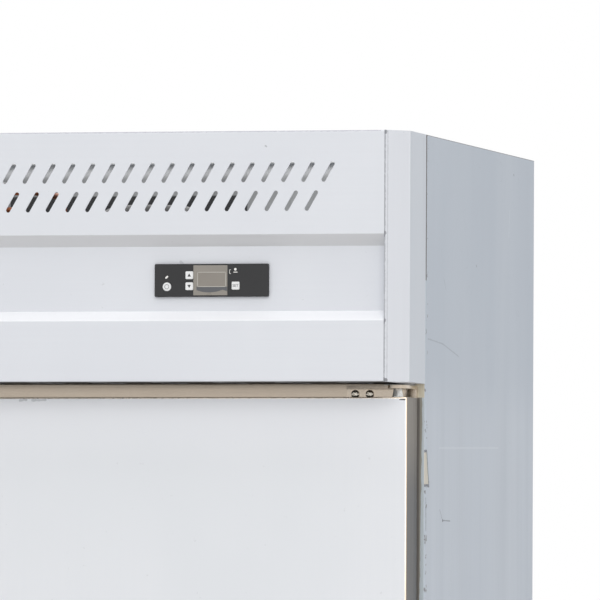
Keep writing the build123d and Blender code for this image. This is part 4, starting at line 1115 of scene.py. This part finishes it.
def buildShelves(node):
    s = shelf
    low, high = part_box(node)
    edge, wire = s["border"], s["wire"]
    middle, wireZ = low.z + edge + 0.0001, high.z - wire
    y0, y1 = low.y + edge, high.y - edge
    work = bmesh.new()
    for side in sides:
        left, right = sorted((side * s["innerEdge"], side * high.x))
        x0, x1 = left + edge, right - edge
        start = ((left + right) / 2, y0, middle)
        loop = [start, (x1, y0, middle), (x1, y1, middle), (x0, y1, middle), (x0, y0, middle), start]
        addPipe(work, bentPath(loop, s["corner"], 5)[:-1], edge, 12, True)
        reach = right - left - 4 * edge
        count = int(reach / s["pitch"])
        for index in range(count + 1):
            x = left + 2 * edge + reach * index / count
            addPipe(work, [(x, y0, wireZ), (x, y1, wireZ)], wire, 8)
        for index in range(s["supports"]):
            y = low.y + (high.y - low.y) * (index + 1) / (s["supports"] + 1)
            z = wireZ - wire - s["support"] * 0.8
            addPipe(work, [(x0, y, z), (x1, y, z)], s["support"], 10)
    addPiece(node + "Wire", work, "coatedWire", node, 50)


for name in frame["nodes"]:
    if name.startswith("shelves_"):
        buildShelves(name)
print("wire shelves made")


# Cooling coil on the back of the cavity

coil = {
    "runs": 8, "pitch": 0.150, "start": 0.330, "half": 0.480, "tube": 0.005, "bend": 0.0675,
    "strips": (-0.380, 0, 0.380), "stripHalf": 0.010, "saddle": 0.0056, "saddleHalf": 0.006, "saddleGauge": 0.0006,
}


def buildCoil():
    c = coil
    low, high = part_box("evaporator_coil")
    y, tube, wide = low.y + c["tube"], c["tube"], c["saddleHalf"]
    levels = [c["start"] + run * c["pitch"] for run in range(c["runs"])]
    points = []
    for run, z in enumerate(levels):
        points += [(end * c["half"], y, z) for end in (sides if run % 2 == 0 else sides[::-1])]
    work = bmesh.new()
    addPipe(work, bentPath(points, c["bend"], 12), tube, 16)
    addPiece("coolingCoil", work, "copperTube", "evaporator_coil", 50)

    work = bmesh.new()
    turns = [math.radians(angle) for angle in range(-90, 91, 15)]
    for x in c["strips"]:
        addBox(work, (x - c["stripHalf"], y + tube + 0.0002, low.z), (x + c["stripHalf"], high.y, high.z), 0.0008)
        for z in levels:  # saddle over each tube, with its screws
            arc = [(y + 0.0002 - math.cos(turn) * c["saddle"], z + math.sin(turn) * c["saddle"]) for turn in turns]
            line = [(y + tube, z - 0.014), *arc, (y + tube, z + 0.014)]
            a0, a1, b0, b1 = (
                [work.verts.new((x + side * wide, atY - lift, atZ)) for atY, atZ in line]
                for side in sides for lift in (0, c["saddleGauge"])
            )
            for one, two in ((a0, a1), (a1, b1), (b1, b0), (b0, a0)):
                bridge(work, one, two, False)
            for index in (0, -1):
                work.faces.new((a0[index], a1[index], b1[index], b0[index]))
            for offset in (-0.011, 0.011):
                head = [(0, -0.0018), (0.0015, -0.0016), (0.0026, -0.0008), (0.0028, 0)]
                addTurned(work, head, (x, y + tube - c["saddleGauge"], z + offset), "Y", 16)
    addPiece("coilStrips", work, "galvanisedSheet", "evaporator_coil", 40, covers=False)


buildCoil()
print("cooling coil made")


# Condensing unit

condenser = {
    "finPitch": 0.0036, "finGauge": 0.0003, "finInset": (0.0008, 0.0005), "waves": 8, "waveDepth": 0.0008,
    "tube": 0.0045, "rows": 10, "rowPitch": 0.023, "stub": 0.0161, "end": 0.002, "lip": 0.010,
}


def buildCondenser():
    c = condenser
    low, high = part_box("condenser_fins")
    insetX, insetY = c["finInset"]
    work = bmesh.new()
    count = int((high.x - low.x) / c["finPitch"])
    for index in range(count + 1):
        x = low.x + insetX + (high.x - low.x - 2 * insetX) * index / count
        rows = []
        for step in range(c["waves"] + 1):
            y = low.y + insetY + (high.y - low.y - 2 * insetY) * step / c["waves"]
            shift = 0 if step in (0, c["waves"]) else c["waveDepth"] * (0.5 if step % 2 else -0.5)
            a, b = x + shift - c["finGauge"] / 2, x + shift + c["finGauge"] / 2
            loop = ((a, y, low.z), (a, y, high.z), (b, y, high.z), (b, y, low.z))
            rows.append([work.verts.new(point) for point in loop])
        skin(work, rows)
    addPiece("condenserFins", work, "finAluminium", "condenser_fins", 10)

    work = bmesh.new()
    y, end, pitch, tube = (low.y + high.y) / 2, c["end"], c["rowPitch"], c["tube"]
    levels = [low.z + (high.z - low.z - (c["rows"] - 1) * pitch) / 2 + row * pitch for row in range(c["rows"])]
    for z in levels:  # the tubes through the fins
        addPipe(work, [(low.x - end, y, z), (high.x + end, y, z)], tube, 12)
    for row, z in enumerate(levels[:-1]):
        out = 1 if row % 2 else -1
        x = high.x + end if row % 2 else low.x - end
        reach = x + out * c["stub"]
        bend = [(x, y, z), (reach, y, z), (reach, y, z + pitch), (x, y, z + pitch)]
        addPipe(work, bentPath(bend, pitch * 0.46, 7), tube, 14)
        socket = [(0.0046, 0), (0.0054, 0), (0.0054, out * 0.004), (0.0046, out * 0.0048)]
        for level in (z, z + pitch):  # flared and brazed sockets
            addTurned(work, socket, (x, y, level), "X", 18)
    addPiece("condenserCoil", work, "copperTube", "condenser_coil", 50)

    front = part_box("condenser_coil")[0].y
    work = bmesh.new()
    for x0, x1, edge, lip in ((low.x - end, low.x, low.x - end, -c["lip"]), (high.x, high.x + end, high.x + end, c["lip"])):
        addBox(work, (x0, front, low.z), (x1, high.y, high.z), 0.0005, 1)
        left, right = sorted((edge, edge + lip))
        addBox(work, (left, front, low.z), (right, front + 0.0012, high.z), 0.0004, 1)
    addPiece("condenserEnds", work, "galvanisedSheet", "condenser_coil", 40, covers=False)


buildCondenser()

fan = {
    "hub": 0.022, "tip": 0.0855, "chord": 0.056, "rootPitch": 33, "tipPitch": 22, "gauge": 0.0011,
    "blades": 5, "camber": 0.004, "steps": 10, "across": 8,
}


def bladeRow(part, face, turn, centre):
    # one line of points across a blade, part of the way out from the hub
    f = fan
    root = f["hub"] * 0.9
    radius = root + (f["tip"] - root) * part
    pitch = math.radians(f["rootPitch"] + (f["tipPitch"] - f["rootPitch"]) * part)
    chord = f["chord"] * (0.52 + 0.62 * part - 0.16 * part ** 3)
    line = []
    for place in (j / f["across"] - 0.5 for j in range(f["across"] + 1)):
        width = place * chord
        rounding = 1 - 0.09 * max(0, part - 0.7) / 0.3 * (2 * place) ** 4
        lift = f["camber"] * (1 - (2 * place) ** 2) + (face - 0.5) * f["gauge"]
        sideways = width * math.cos(pitch) - lift * math.sin(pitch)
        depth = width * math.sin(pitch) + lift * math.cos(pitch)
        outward = math.sqrt(max((radius * rounding) ** 2 - sideways ** 2, 0))
        line.append(turn @ Vector((sideways, depth, outward)) + centre)
    return line


def buildFan():
    f = fan
    low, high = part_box("condenser_fan")
    centre, half, hub = Vector(middleOf(low, high)), (high.y - low.y) / 2, f["hub"]
    work = bmesh.new()
    outline = [
        (0, -half), (0.006, -half), (0.009, -half + 0.0015), (hub - 0.003, -half + 0.003), (hub, -half + 0.006),
        (hub, half - 0.001), (hub - 0.001, half), (0.0045, half),
    ]
    addTurned(work, outline, centre, "Y", 48)
    steps, across = f["steps"], f["across"]
    for blade in range(f["blades"]):
        turn = Matrix.Rotation(math.tau * blade / f["blades"], 3, "Y")
        grids = []
        for face in (0, 1):
            rows = [bladeRow(i / steps, face, turn, centre) for i in range(steps + 1)]
            grids.append([[work.verts.new(point) for point in row] for row in rows])
            for a, b in zip(grids[-1], grids[-1][1:]):
                bridge(work, a, b, False)
        first, second = grids
        for j in (0, across):
            bridge(work, [row[j] for row in first], [row[j] for row in second], False)
        for i in (0, steps):
            bridge(work, first[i], second[i], False)
    addPiece("fanBlades", work, "fanAluminium", "condenser_fan", 35)


buildFan()

motor = {"length": 0.056, "ribs": 6, "ribPitch": 0.005, "groove": 0.0015, "shaft": 0.004, "boltInset": 0.010}


def buildMotor():
    m = motor
    low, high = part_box("fan_motor")
    x, y, z = middleOf(low, high)
    radius, start, groove = (high.x - low.x) / 2, high.y - m["length"], m["groove"]
    work = bmesh.new()
    outline = [(0, 0), (radius - 0.002, 0), (radius, 0.002), (radius, 0.012), (radius - groove, 0.013)]
    for at in (0.015 + rib * m["ribPitch"] for rib in range(m["ribs"])):
        outline += [(radius - groove, at), (radius, at + 0.0005), (radius, at + 0.0022), (radius - groove, at + 0.0027)]
    outline += [(radius - 0.002, 0.047), (radius - 0.005, 0.0525), (radius - 0.012, 0.055)]
    outline += [(0.012, 0.056), (0.010, 0.0545), (0, 0.0545)]
    addTurned(work, outline, (x, start, z), "Y", 56)
    addTurned(work, [(0, 0), (m["shaft"], 0), (m["shaft"], start - low.y)], (x, low.y, z), "Y", 24)
    reach = radius - m["boltInset"]
    for turn in (math.radians(45 + 90 * bolt) for bolt in range(4)):  # through bolts
        bolt = [(0.0022, -0.002), (0.0035, -0.002), (0.0035, 0.0035), (0, 0.004)]
        addTurned(work, bolt, (x + math.cos(turn) * reach, high.y - 0.0045, z + math.sin(turn) * reach), "Y", 6)
    addPiece("fanMotorShell", work, "blackEnamel", "fan_motor", 30)


buildMotor()

pot = {
    "x": 0.205, "y": -0.010, "radius": 0.080, "height": 0.196, "dome": 0.042, "seam": 0.45,
    "footPlate": 0.003, "footHalf": 0.048, "footInset": 0.014,
    "clip": (
        (0.0, 0.0075), (0.0036, 0.0075), (0.0038, 0.004), (0.0068, 0.0038), (0.0070, 0.0026), (0.008, 0.0024),
        (0.008, 0.0008), (0.0, 0.0008),
    ),
}


def buildCompressor():
    p = pot
    low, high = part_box("compressor")
    x, y, radius, dome, top = p["x"], p["y"], p["radius"], p["dome"], high.z
    base = top - p["height"]
    seam = base + p["height"] * p["seam"]
    quarter = [math.pi / 2 * step / 10 for step in range(11)]
    outline = [(0, base)]
    outline += [(radius - dome + dome * math.sin(turn), base + dome - dome * math.cos(turn)) for turn in quarter]
    outline += [(radius + out, seam + up) for out, up in (
        (0, -0.0045), (0.0035, -0.004), (0.004, -0.003), (0.004, 0.0005), (0.0028, 0.0008), (0.0030, 0.0022),
        (0.0022, 0.0034), (-0.0004, 0.0042), (-0.0008, 0.006),
    )]
    upper = radius - 0.0008 - dome
    outline += [(upper + dome * math.cos(turn), top - dome + dome * math.sin(turn)) for turn in quarter]
    work = bmesh.new()
    addTurned(work, outline + [(0, top)], (x, y, 0), "Z", 72)
    plateLow, halfX, halfY = base - p["footPlate"], (high.x - low.x) / 2, p["footHalf"]
    addBox(work, (x - halfX, y - halfY, plateLow), (x + halfX, y + halfY, base), 0.0008)
    for edge in (y - halfY, y + halfY):  # turned-up edges of the feet plate
        addBox(work, (x - halfX, edge - 0.0015, plateLow), (x + halfX, edge + 0.0015, base + 0.006), 0.0006)
    addPiece("compressorPot", work, "blackEnamel", "compressor", 35)

    work = bmesh.new()
    coverLow, coverHigh = base + dome, base + dome + 0.074
    addBox(work, (x - 0.028, low.y + 0.0024, coverLow), (x + 0.028, y - radius + 0.004, coverHigh), 0.004, 4)
    addBox(work, (x - 0.020, low.y + 0.0008, coverLow + 0.010), (x + 0.020, low.y + 0.006, coverHigh - 0.010), 0.0012, 3)
    addPiece("terminalCover", work, "blackPlastic", "compressor", 30, covers=False)

    tall = plateLow - low.z
    grommet = [
        (0.004, 0), (0.0085, 0), (0.009, 0.001), (0.0078, 0.003), (0.0078, 0.006), (0.009, 0.008), (0.0085, tall),
        (0.004, tall),
    ]
    for name, outline, z, steps, key, slotName in (
        ("compressorClips", p["clip"], base, 6, "screwSteel", "bright_screws"),
        ("compressorGrommets", grommet, low.z, 32, "blackPlastic", "black_plastic"),
    ):
        work = bmesh.new()
        for sideX, sideY in corners:
            place = (x + sideX * (halfX - p["footInset"]), y + sideY * (halfY - p["footInset"]), z)
            addTurned(work, outline, place, "Z", steps)
        addPiece(name, work, key, "compressor", 35, covers=False)


buildCompressor()

pipes = {
    "compressorX": 0.205, "compressorY": -0.010, "potRadius": 0.080, "gap": 0.0003,
    "lastRow": 1.8895, "firstRow": 1.6825, "coilY": -0.152, "coilEnd": 0.0523,
    "riserX": 0.091, "turnX": 0.095, "lowZ": 1.7995, "drierX": 0.140, "drierLength": 0.096, "drierY": -0.186,
    "loopX": 0.286, "loopZ": 1.7425, "linesX": 0.370, "deck": 1.6503, "suctionZ": 1.80352, "suctionY": -0.070,
    "collar": 0.006, "collarGauge": 0.0007,
}


def pipeRoutes():
    # radius, bend and corners of the discharge, liquid, capillary and suction lines
    p = pipes
    x, y, reach = p["compressorX"], p["compressorY"], p["potRadius"] + p["gap"]
    rise, turn, loop, lines = p["riserX"], p["turnX"], p["loopX"], p["linesX"]
    last, first, coilY, drierX, drierY = p["lastRow"], p["firstRow"], p["coilY"], p["drierX"], p["drierY"]
    return (
        (0.004, 0.022, [
            (x - reach, y, p["lowZ"]), (rise, y, p["lowZ"]), (rise, y, last), (rise, coilY, last),
            (p["coilEnd"], coilY, last),
        ]),
        (0.004, 0.0154, [
            (p["coilEnd"], coilY, first), (turn, coilY, first), (turn, drierY, first),
            (drierX - p["gap"], drierY, first),
        ]),
        (0.0024, 0.022, [
            (drierX + p["drierLength"] + p["gap"], drierY, first), (loop, drierY, first), (loop, drierY, p["loopZ"]),
            (lines, drierY, p["loopZ"]), (lines, drierY, p["deck"]),
        ]),
        (0.005, 0.022, [
            (x + reach, y, p["suctionZ"]), (lines, y, p["suctionZ"]), (lines, p["suctionY"], p["suctionZ"]),
            (lines, p["suctionY"], p["deck"]),
        ]),
    )


def buildPipes():
    work = bmesh.new()
    for radius, bend, route in pipeRoutes():
        path = bentPath(route, bend, 9)
        addPipe(work, path, radius, 16)
        for end, following in ((path[0], path[1]), (path[-1], path[-2])):  # brazed collars
            along = (following - end).normalized()
            addPipe(work, [end, end + along * pipes["collar"]], radius + pipes["collarGauge"], 16)
    addPiece("refrigerantPipes", work, "copperTube", "refrigerant_lines", 50)

    low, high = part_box("filter_drier")
    x, y, z = middleOf(low, high)
    radius, length, neck = (high.y - low.y) / 2, high.x - low.x, 0.0052
    half = [(0, 0), (0.0050, 0), (neck, 0.004)]
    for part in (step / 6 for step in range(7)):
        half.append((neck + (radius - neck) * (0.5 - 0.5 * math.cos(math.pi * part)), 0.005 + 0.012 * part))
    half += [(radius, 0.022), (radius - 0.0006, 0.0232), (radius, 0.0244)]
    work = bmesh.new()
    addTurned(work, half + [(out, length - along) for out, along in reversed(half)], (low.x, y, z), "X", 36)
    addPiece("filterDrier", work, "copperTube", "filter_drier", 40)


buildPipes()

electrics = {"lid": 0.022, "screwInset": 0.010, "ribs": 9, "ribStart": 0.035, "ribPitch": 0.010, "ribEnd": 0.030}
gland = {"grips": 16, "gripHalf": 0.0024, "capRadius": 0.0112, "nuts": (0.3648, 0.358)}


def buildElectrics():
    e = electrics
    low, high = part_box("electrical_box")
    lid = low.y + e["lid"]
    work = bmesh.new()
    addBox(work, (low.x + 0.001, lid, low.z), (high.x - 0.001, high.y, high.z - 0.001), 0.004, 4)
    addBox(work, low, (high.x, lid - 0.0008, high.z), 0.004, 4)
    rim = [(0.0046, -0.0004), (0.0046, 0.0006), (0.0028, 0.0006)]
    well = [(0, -0.0002), (0.0022, -0.0002), (0.0028, 0.0006)]
    for x in (low.x + e["screwInset"], high.x - e["screwInset"]):
        for z in (low.z + e["screwInset"], high.z - e["screwInset"]):
            for screw in (rim, well):
                addTurned(work, screw, (x, low.y, z), "Y", 24)
    for x in (low.x + e["ribStart"] + rib * e["ribPitch"] for rib in range(e["ribs"])):
        ribLow, ribHigh = low.z + e["ribEnd"], high.z - e["ribEnd"]
        addBox(work, (x - 0.001, low.y - 0.0004, ribLow), (x + 0.001, low.y + 0.001, ribHigh), 0.0004, 1)
    addPiece("electricalBox", work, "greyBoxPlastic", "electrical_box", 30)

    g = gland
    low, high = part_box("cable_gland")
    x, y, z = middleOf(low, high)
    out, bore = high.y, 0.0050
    work = bmesh.new()
    cap = [
        (bore, 0), (0.0094, 0), (0.0104, -0.0012), (g["capRadius"], -0.0035), (g["capRadius"], -0.0085),
        (0.0082, -0.0088), (0.0080, low.y - out), (bore, low.y - out), (bore, 0),
    ]
    addTurned(work, cap, (x, out, z), "Y", 40)
    outerNut, innerNut = g["nuts"]
    nut = [(0.0052, 0), (0.0118, 0), (0.0128, -0.001), (0.0128, -0.0045), (0.0118, -0.0055), (0.0052, -0.0055)]
    addTurned(work, nut, (x, outerNut, z), "Y", 6)
    for turn in circle(g["grips"]):
        at = Vector((x + math.cos(turn) * g["capRadius"], out - 0.0060, z + math.sin(turn) * g["capRadius"]))
        addPipe(work, [at + Vector((0, reach, 0)) for reach in (g["gripHalf"], -g["gripHalf"])], 0.0008, 6)
    nut = [(0.0081, 0), (0.0122, 0), (0.0130, -0.001), (0.0130, -0.004), (0.0122, -0.005), (0.0081, -0.005)]
    addTurned(work, nut, (x, innerNut, z), "Y", 6)
    addPiece("cableGland", work, "blackPlastic", "cable_gland", 30)


buildElectrics()
print("condensing unit made")


# Legs

foot = {"sole": 0.022, "waist": 0.0165, "collar": 0.0205, "stem": 0.016, "thread": 0.048}


def buildFoot(node):
    sole, waist, collar, stem = (foot[key] for key in ("sole", "waist", "collar", "stem"))
    low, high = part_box(node)
    x, y, z = middleOf(low, high)
    shoulder, rim = high.z - foot["thread"], sole - 0.0012
    outline = [
        (0, 0), (sole - 0.0022, 0), (sole - 0.0008, 0.0006), (sole, 0.0022), (sole, 0.0052), (rim, 0.0064), (rim, 0.0075),
    ]
    for part in (step / 8 for step in range(9)):
        outline.append((sole - 0.0015 - (sole - 0.0015 - waist) * math.sin(math.pi / 2 * part), 0.0078 + 0.008 * part))
    for part in (step / 8 for step in range(1, 9)):
        outline.append((waist + (collar - waist) * (0.5 - 0.5 * math.cos(math.pi * part)), 0.0158 + 0.014 * part))
    outline += [
        (collar, shoulder - 0.004), (collar - 0.0006, shoulder - 0.0032), (collar, shoulder - 0.0024),
        (collar - 0.0004, shoulder), (stem, shoulder), (stem, high.z - 0.001), (stem - 0.001, high.z), (0, high.z),
    ]
    work = bmesh.new()
    addTurned(work, outline, (x, y, 0), "Z", 56)
    addPiece(node + "Turned", work, "legSteel", node, 40)


for name in frame["nodes"]:
    if name.startswith("foot_"):
        buildFoot(name)

sleeve = {"half": 0.042, "plate": 0.003, "bore": 0.0162, "radius": 0.0210, "fillet": 0.0035, "boltReach": 0.032}


def buildSleeves():
    s = sleeve
    half, bore, radius, fillet = s["half"], s["bore"], s["radius"], s["fillet"]
    low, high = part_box("leg_sleeves")
    top = high.z - s["plate"]
    outline = [(bore, low.z), (0.0204, low.z), (radius, low.z + 0.0006), (radius, top - 0.004)]
    for turn in (math.pi / 2 * step / 4 for step in range(5)):  # weld fillet under the plate
        outline.append((radius + fillet * (1 - math.cos(turn)), top - fillet * (1 - math.sin(turn))))
    outline += [(bore, top), (bore, low.z)]
    bolt = [(0, -0.0036), (0.0040, -0.0036), (0.0052, -0.0028), (0.0054, 0.0)]
    work = bmesh.new()
    for part in looseParts("leg_sleeves"):
        x, y, z = middleOf(*part)
        addBox(work, (x - half, y - half, top), (x + half, y + half, high.z), 0.0008)
        addTurned(work, outline, (x, y, 0), "Z", 48)
        for sideX, sideY in corners:
            addTurned(work, bolt, (x + sideX * s["boltReach"], y + sideY * s["boltReach"], top), "Z", 6)
    addPiece("legSleeves", work, "legSteel", "leg_sleeves", 35)


buildSleeves()
print("legs made")


# Door gaskets, handles and inner skins

# one half of the profile: in from the ring's edge, back from the door, in mm; the other half mirrors it
gasket = {
    "width": 20.0,
    "half": (
        (1.0, 0.0), (0.0, 1.2), (0.6, 2.4), (2.6, 3.0), (3.4, 4.4), (1.4, 5.4), (0.4, 7.2), (0.8, 9.6),
        (2.4, 11.2), (5.0, 11.7),
    ),
}


def buildGasket(node):
    low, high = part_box(node)
    half = gasket["half"]
    work = bmesh.new()
    rings = []
    for inset, back in half + tuple((gasket["width"] - inset, back) for inset, back in reversed(half)):
        inset, y = inset * 0.001, low.y + back * 0.001
        x0, x1, z0, z1 = low.x + inset, high.x - inset, low.z + inset, high.z - inset
        rings.append([work.verts.new((x, y, z)) for x, z in ((x0, z0), (x1, z0), (x1, z1), (x0, z1))])
    skin(work, rings + rings[:1], False)
    addPiece(node + "Profile", work, "gasketRubber", node, 50)


# thickness and depth of each step pressed into the inner skin
linerSteps = {"round": 0.006, "steps": ((0.028, 0), (0.004, -0.003), (0.012, 0), (0.003, 0.0018))}


def dressLiner(node):
    # the CAD core with a stepped, recessed field pressed into the inner skin
    work = weldedNode(node)
    simplify(work)
    back = max(vert.co.y for vert in work.verts)

    def onPlug(face):
        return face.normal.y > 0.99 and face.calc_center_median().y > back - 0.0005

    edges = [edge for face in work.faces if onPlug(face) for edge in face.edges]
    bmesh.ops.bevel(work, geom=edges, offset=linerSteps["round"], segments=4, affect="EDGES", profile=0.5)
    work.faces.ensure_lookup_table()
    field = [max((face for face in work.faces if onPlug(face)), key=lambda face: face.calc_area())]
    for thickness, depth in linerSteps["steps"]:
        bmesh.ops.inset_individual(work, faces=field, thickness=thickness, depth=depth)
    addPiece(node + "Skin", work, "linerPlastic", node, 40, recalculate=False)


handle = {"rounding": 0.0022, "padLength": 0.0355, "padGauge": 0.0022, "padCorner": 0.006}


def buildHandle(node):
    # cast bar with its edges well rounded and a thin foot pad at each end
    h = handle
    low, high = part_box(node)
    dressed = dressNode(node, "castHandle", "cast_handle", h["rounding"], 30)
    dressed.modifiers["softEdge"].segments = 4
    work = bmesh.new()
    for z0, z1 in ((low.z, low.z + h["padLength"]), (high.z - h["padLength"], high.z)):
        outline = roundedRectangle((low.x + high.x) / 2, (z0 + z1) / 2, high.x - low.x, z1 - z0, h["padCorner"])
        addSlab(work, outline, high.y - h["padGauge"], high.y, 0.0006)
    addPiece(node + "Pads", work, "castHandle", node, 30, covers=False)


for name in frame["nodes"]:
    if name.endswith("_gasket"):
        buildGasket(name)
    elif name.endswith("_liner") and name.startswith("door"):
        dressLiner(name)
    elif name.endswith("_handle"):
        buildHandle(name)
print("door fittings made")


# Back of the cabinet: screws round the sheet and pressed louvres for the compartment on top

backSheet = {
    "screwPitch": 0.165, "screwInset": 0.020, "deckLine": 1.650,
    "louvreWidth": 0.080, "louvreHeight": 0.009, "louvreDepth": 0.0040, "louvreRows": 8, "louvrePitch": 0.020,
    "louvreColumns": (-0.22, -0.12, -0.02), "louvreBottom": 1.700, "louvreGauge": 0.0007, "along": 12, "up": 5,
}


def addLouvre(work, x, y, z):
    b = backSheet
    along, up = b["along"], b["up"]
    grid = []
    for share in (i / along for i in range(along + 1)):
        bulge = math.sin(math.pi * share) ** 0.35 if 0 < share < 1 else 0.0
        line = []
        for part in (j / up for j in range(up + 1)):
            rise = math.sin(math.pi / 2 * (1 - part)) if part < 1 else 0.0
            depth = b["louvreDepth"] * bulge * rise
            line.append(work.verts.new((x + (share - 0.5) * b["louvreWidth"], y + depth, z + part * b["louvreHeight"])))
        grid.append(line)
    for one, two in zip(grid, grid[1:]):
        bridge(work, one, two, False)
    lip = [line[0] for line in grid]  # thickness under the lip
    under = [(v.co.x, max(v.co.y - b["louvreGauge"], y), v.co.z + 0.0001) for v in lip]
    bridge(work, lip, [work.verts.new(point) for point in under], False)


def buildBack():
    b = backSheet
    low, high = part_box("back_panel")
    inset, tall = b["screwInset"], high.z - low.z - 2 * b["screwInset"]
    half, rows = high.x - inset, int(tall / b["screwPitch"])
    places = [(side * half, low.z + inset + tall * row / rows) for row in range(rows + 1) for side in sides]
    columns = int(2 * half / b["screwPitch"])
    for x in (-half + 2 * half * column / columns for column in range(1, columns)):
        places += [(x, low.z + inset), (x, high.z - inset), (x, b["deckLine"])]
    work = bmesh.new()
    for x, z in places:
        head = [(0.0046, 0), (0.0046, 0.0005), (0.0038, 0.0016), (0.0018, 0.0021), (0, 0.0021)]
        addTurned(work, head, (x, high.y, z), "Y", 20)
    addPiece("backScrews", work, "screwSteel", "back_panel", 40, covers=False)

    work = bmesh.new()
    for x in b["louvreColumns"]:
        for row in range(b["louvreRows"]):
            addLouvre(work, x, high.y, b["louvreBottom"] + row * b["louvrePitch"])
    bmesh.ops.remove_doubles(work, verts=work.verts, dist=1e-7)
    addPiece("backLouvres", work, "galvanisedSheet", "back_panel", 40, covers=False)


buildBack()
print("back made")


# Floor, light and camera

lighting = {
    "ambient": (0.41, 0.417, 0.43, 1), "overhead": (1.33, 1.33, 1.34, 1), "floorBounce": (216, 216, 215),
    "keyPlace": (1.7, -6.7, 4.6), "keyTarget": (0, -0.2, 1.3), "keySize": (6.0, 4.0), "keyPower": 180,
    "floorReach": 60.0,
}


def buildFloor():
    reach = lighting["floorReach"]
    mesh = bpy.data.meshes.new("studioFloor")
    corner = [(-reach, -reach, 0), (reach, -reach, 0), (reach, reach, 0), (-reach, reach, 0)]
    mesh.from_pydata(corner, [], [(0, 1, 2, 3)])
    floor = bpy.data.objects.new("studioFloor", mesh)
    scene.collection.objects.link(floor)
    tree, sockets = newMaterial("paleFloor", Roughness=0.85, Specular_IOR_Level=0.2)
    surface = placeGroup(tree, "moulded", Grain_Scale=40.0, Flow_Scale=0.6)
    seen = addNode(tree, "LightPath")["Is Camera Ray"]
    tint = mixColour(tree, seen, lighting["floorBounce"], (243, 243, 243))
    tone = mixColour(tree, spread(tree, surface["Flow"], 0, 0.2), tint, (232, 232, 232))
    tree.links.new(tone, sockets["Base Color"])
    # the floor fades to white with its distance from the object
    away = vectorMath(tree, "LENGTH", objectPlace(tree), result="Value")
    fade = compute(tree, "MULTIPLY", spread(tree, away, 0, 1, 1.6, 5.0, "SMOOTHSTEP"), seen)
    white = addNode(tree, "Emission", {"Color": (1, 1, 1, 1), "Strength": 1.0})[0]
    lit = tree.nodes["Principled BSDF"].outputs[0]
    blend = addNode(tree, "MixShader", {0: fade, 1: lit, 2: white})[0]
    tree.links.new(blend, tree.nodes["Material Output"].inputs["Surface"])
    mesh.materials.append(finish["paleFloor"])


def buildWorld():
    world = scene.world = bpy.data.worlds.new("studioWorld")
    world.use_nodes = True
    tree = world.node_tree
    background = tree.nodes["Background"].inputs
    path = addNode(tree, "LightPath")
    glossy = compute(tree, "MAXIMUM", path["Is Glossy Ray"], path["Is Transmission Ray"])
    shown = compute(tree, "MAXIMUM", path["Is Camera Ray"], glossy)
    # brighter overhead than round the sides
    height = spread(tree, split(tree, addNode(tree, "TexCoord")["Generated"])["Z"], 0, 1, 0.15, 1.0, "SMOOTHSTEP")
    sky = mixColour(tree, height, lighting["ambient"], lighting["overhead"])
    tree.links.new(mixColour(tree, shown, sky, (1, 1, 1, 1)), background["Color"])
    background["Strength"].default_value = 1.0


def buildLamp():
    data = bpy.data.lights.new("softKey", "AREA")
    data.shape, data.energy = "RECTANGLE", lighting["keyPower"]
    data.size, data.size_y = lighting["keySize"]
    lamp = bpy.data.objects.new("softKey", data)
    place = Vector(lighting["keyPlace"])
    lamp.location = place
    lamp.rotation_euler = (Vector(lighting["keyTarget"]) - place).to_track_quat("-Z", "Y").to_euler()
    scene.collection.objects.link(lamp)


buildFloor()
buildWorld()
buildLamp()

photoCamera = {"place": (2.9999, -10.8121, 1.3618), "yaw": 13.564, "pitch": 2.056, "roll": 0.278, "lens": 540}


def buildCamera():
    yaw, pitch, roll = (math.radians(photoCamera[key]) for key in ("yaw", "pitch", "roll"))
    ahead = Vector((-math.sin(yaw) * math.cos(pitch), math.cos(yaw) * math.cos(pitch), math.sin(pitch)))
    right = ahead.cross(Vector((0, 0, 1))).normalized()
    up = right.cross(ahead)
    tiltedRight = right * math.cos(roll) + up * math.sin(roll)
    tiltedUp = up * math.cos(roll) - right * math.sin(roll)
    data = bpy.data.cameras.new("photoCamera")
    data.lens, data.sensor_width, data.clip_start, data.clip_end = photoCamera["lens"], 36, 0.5, 300
    camera = scene.camera = bpy.data.objects.new("photoCamera", data)
    turn = Matrix((tiltedRight, tiltedUp, -ahead)).transposed()
    camera.matrix_world = Matrix.Translation(photoCamera["place"]) @ turn.to_4x4()
    scene.collection.objects.link(camera)


buildCamera()
scene.view_settings.view_transform = "Standard"
print("stage, light and camera set")
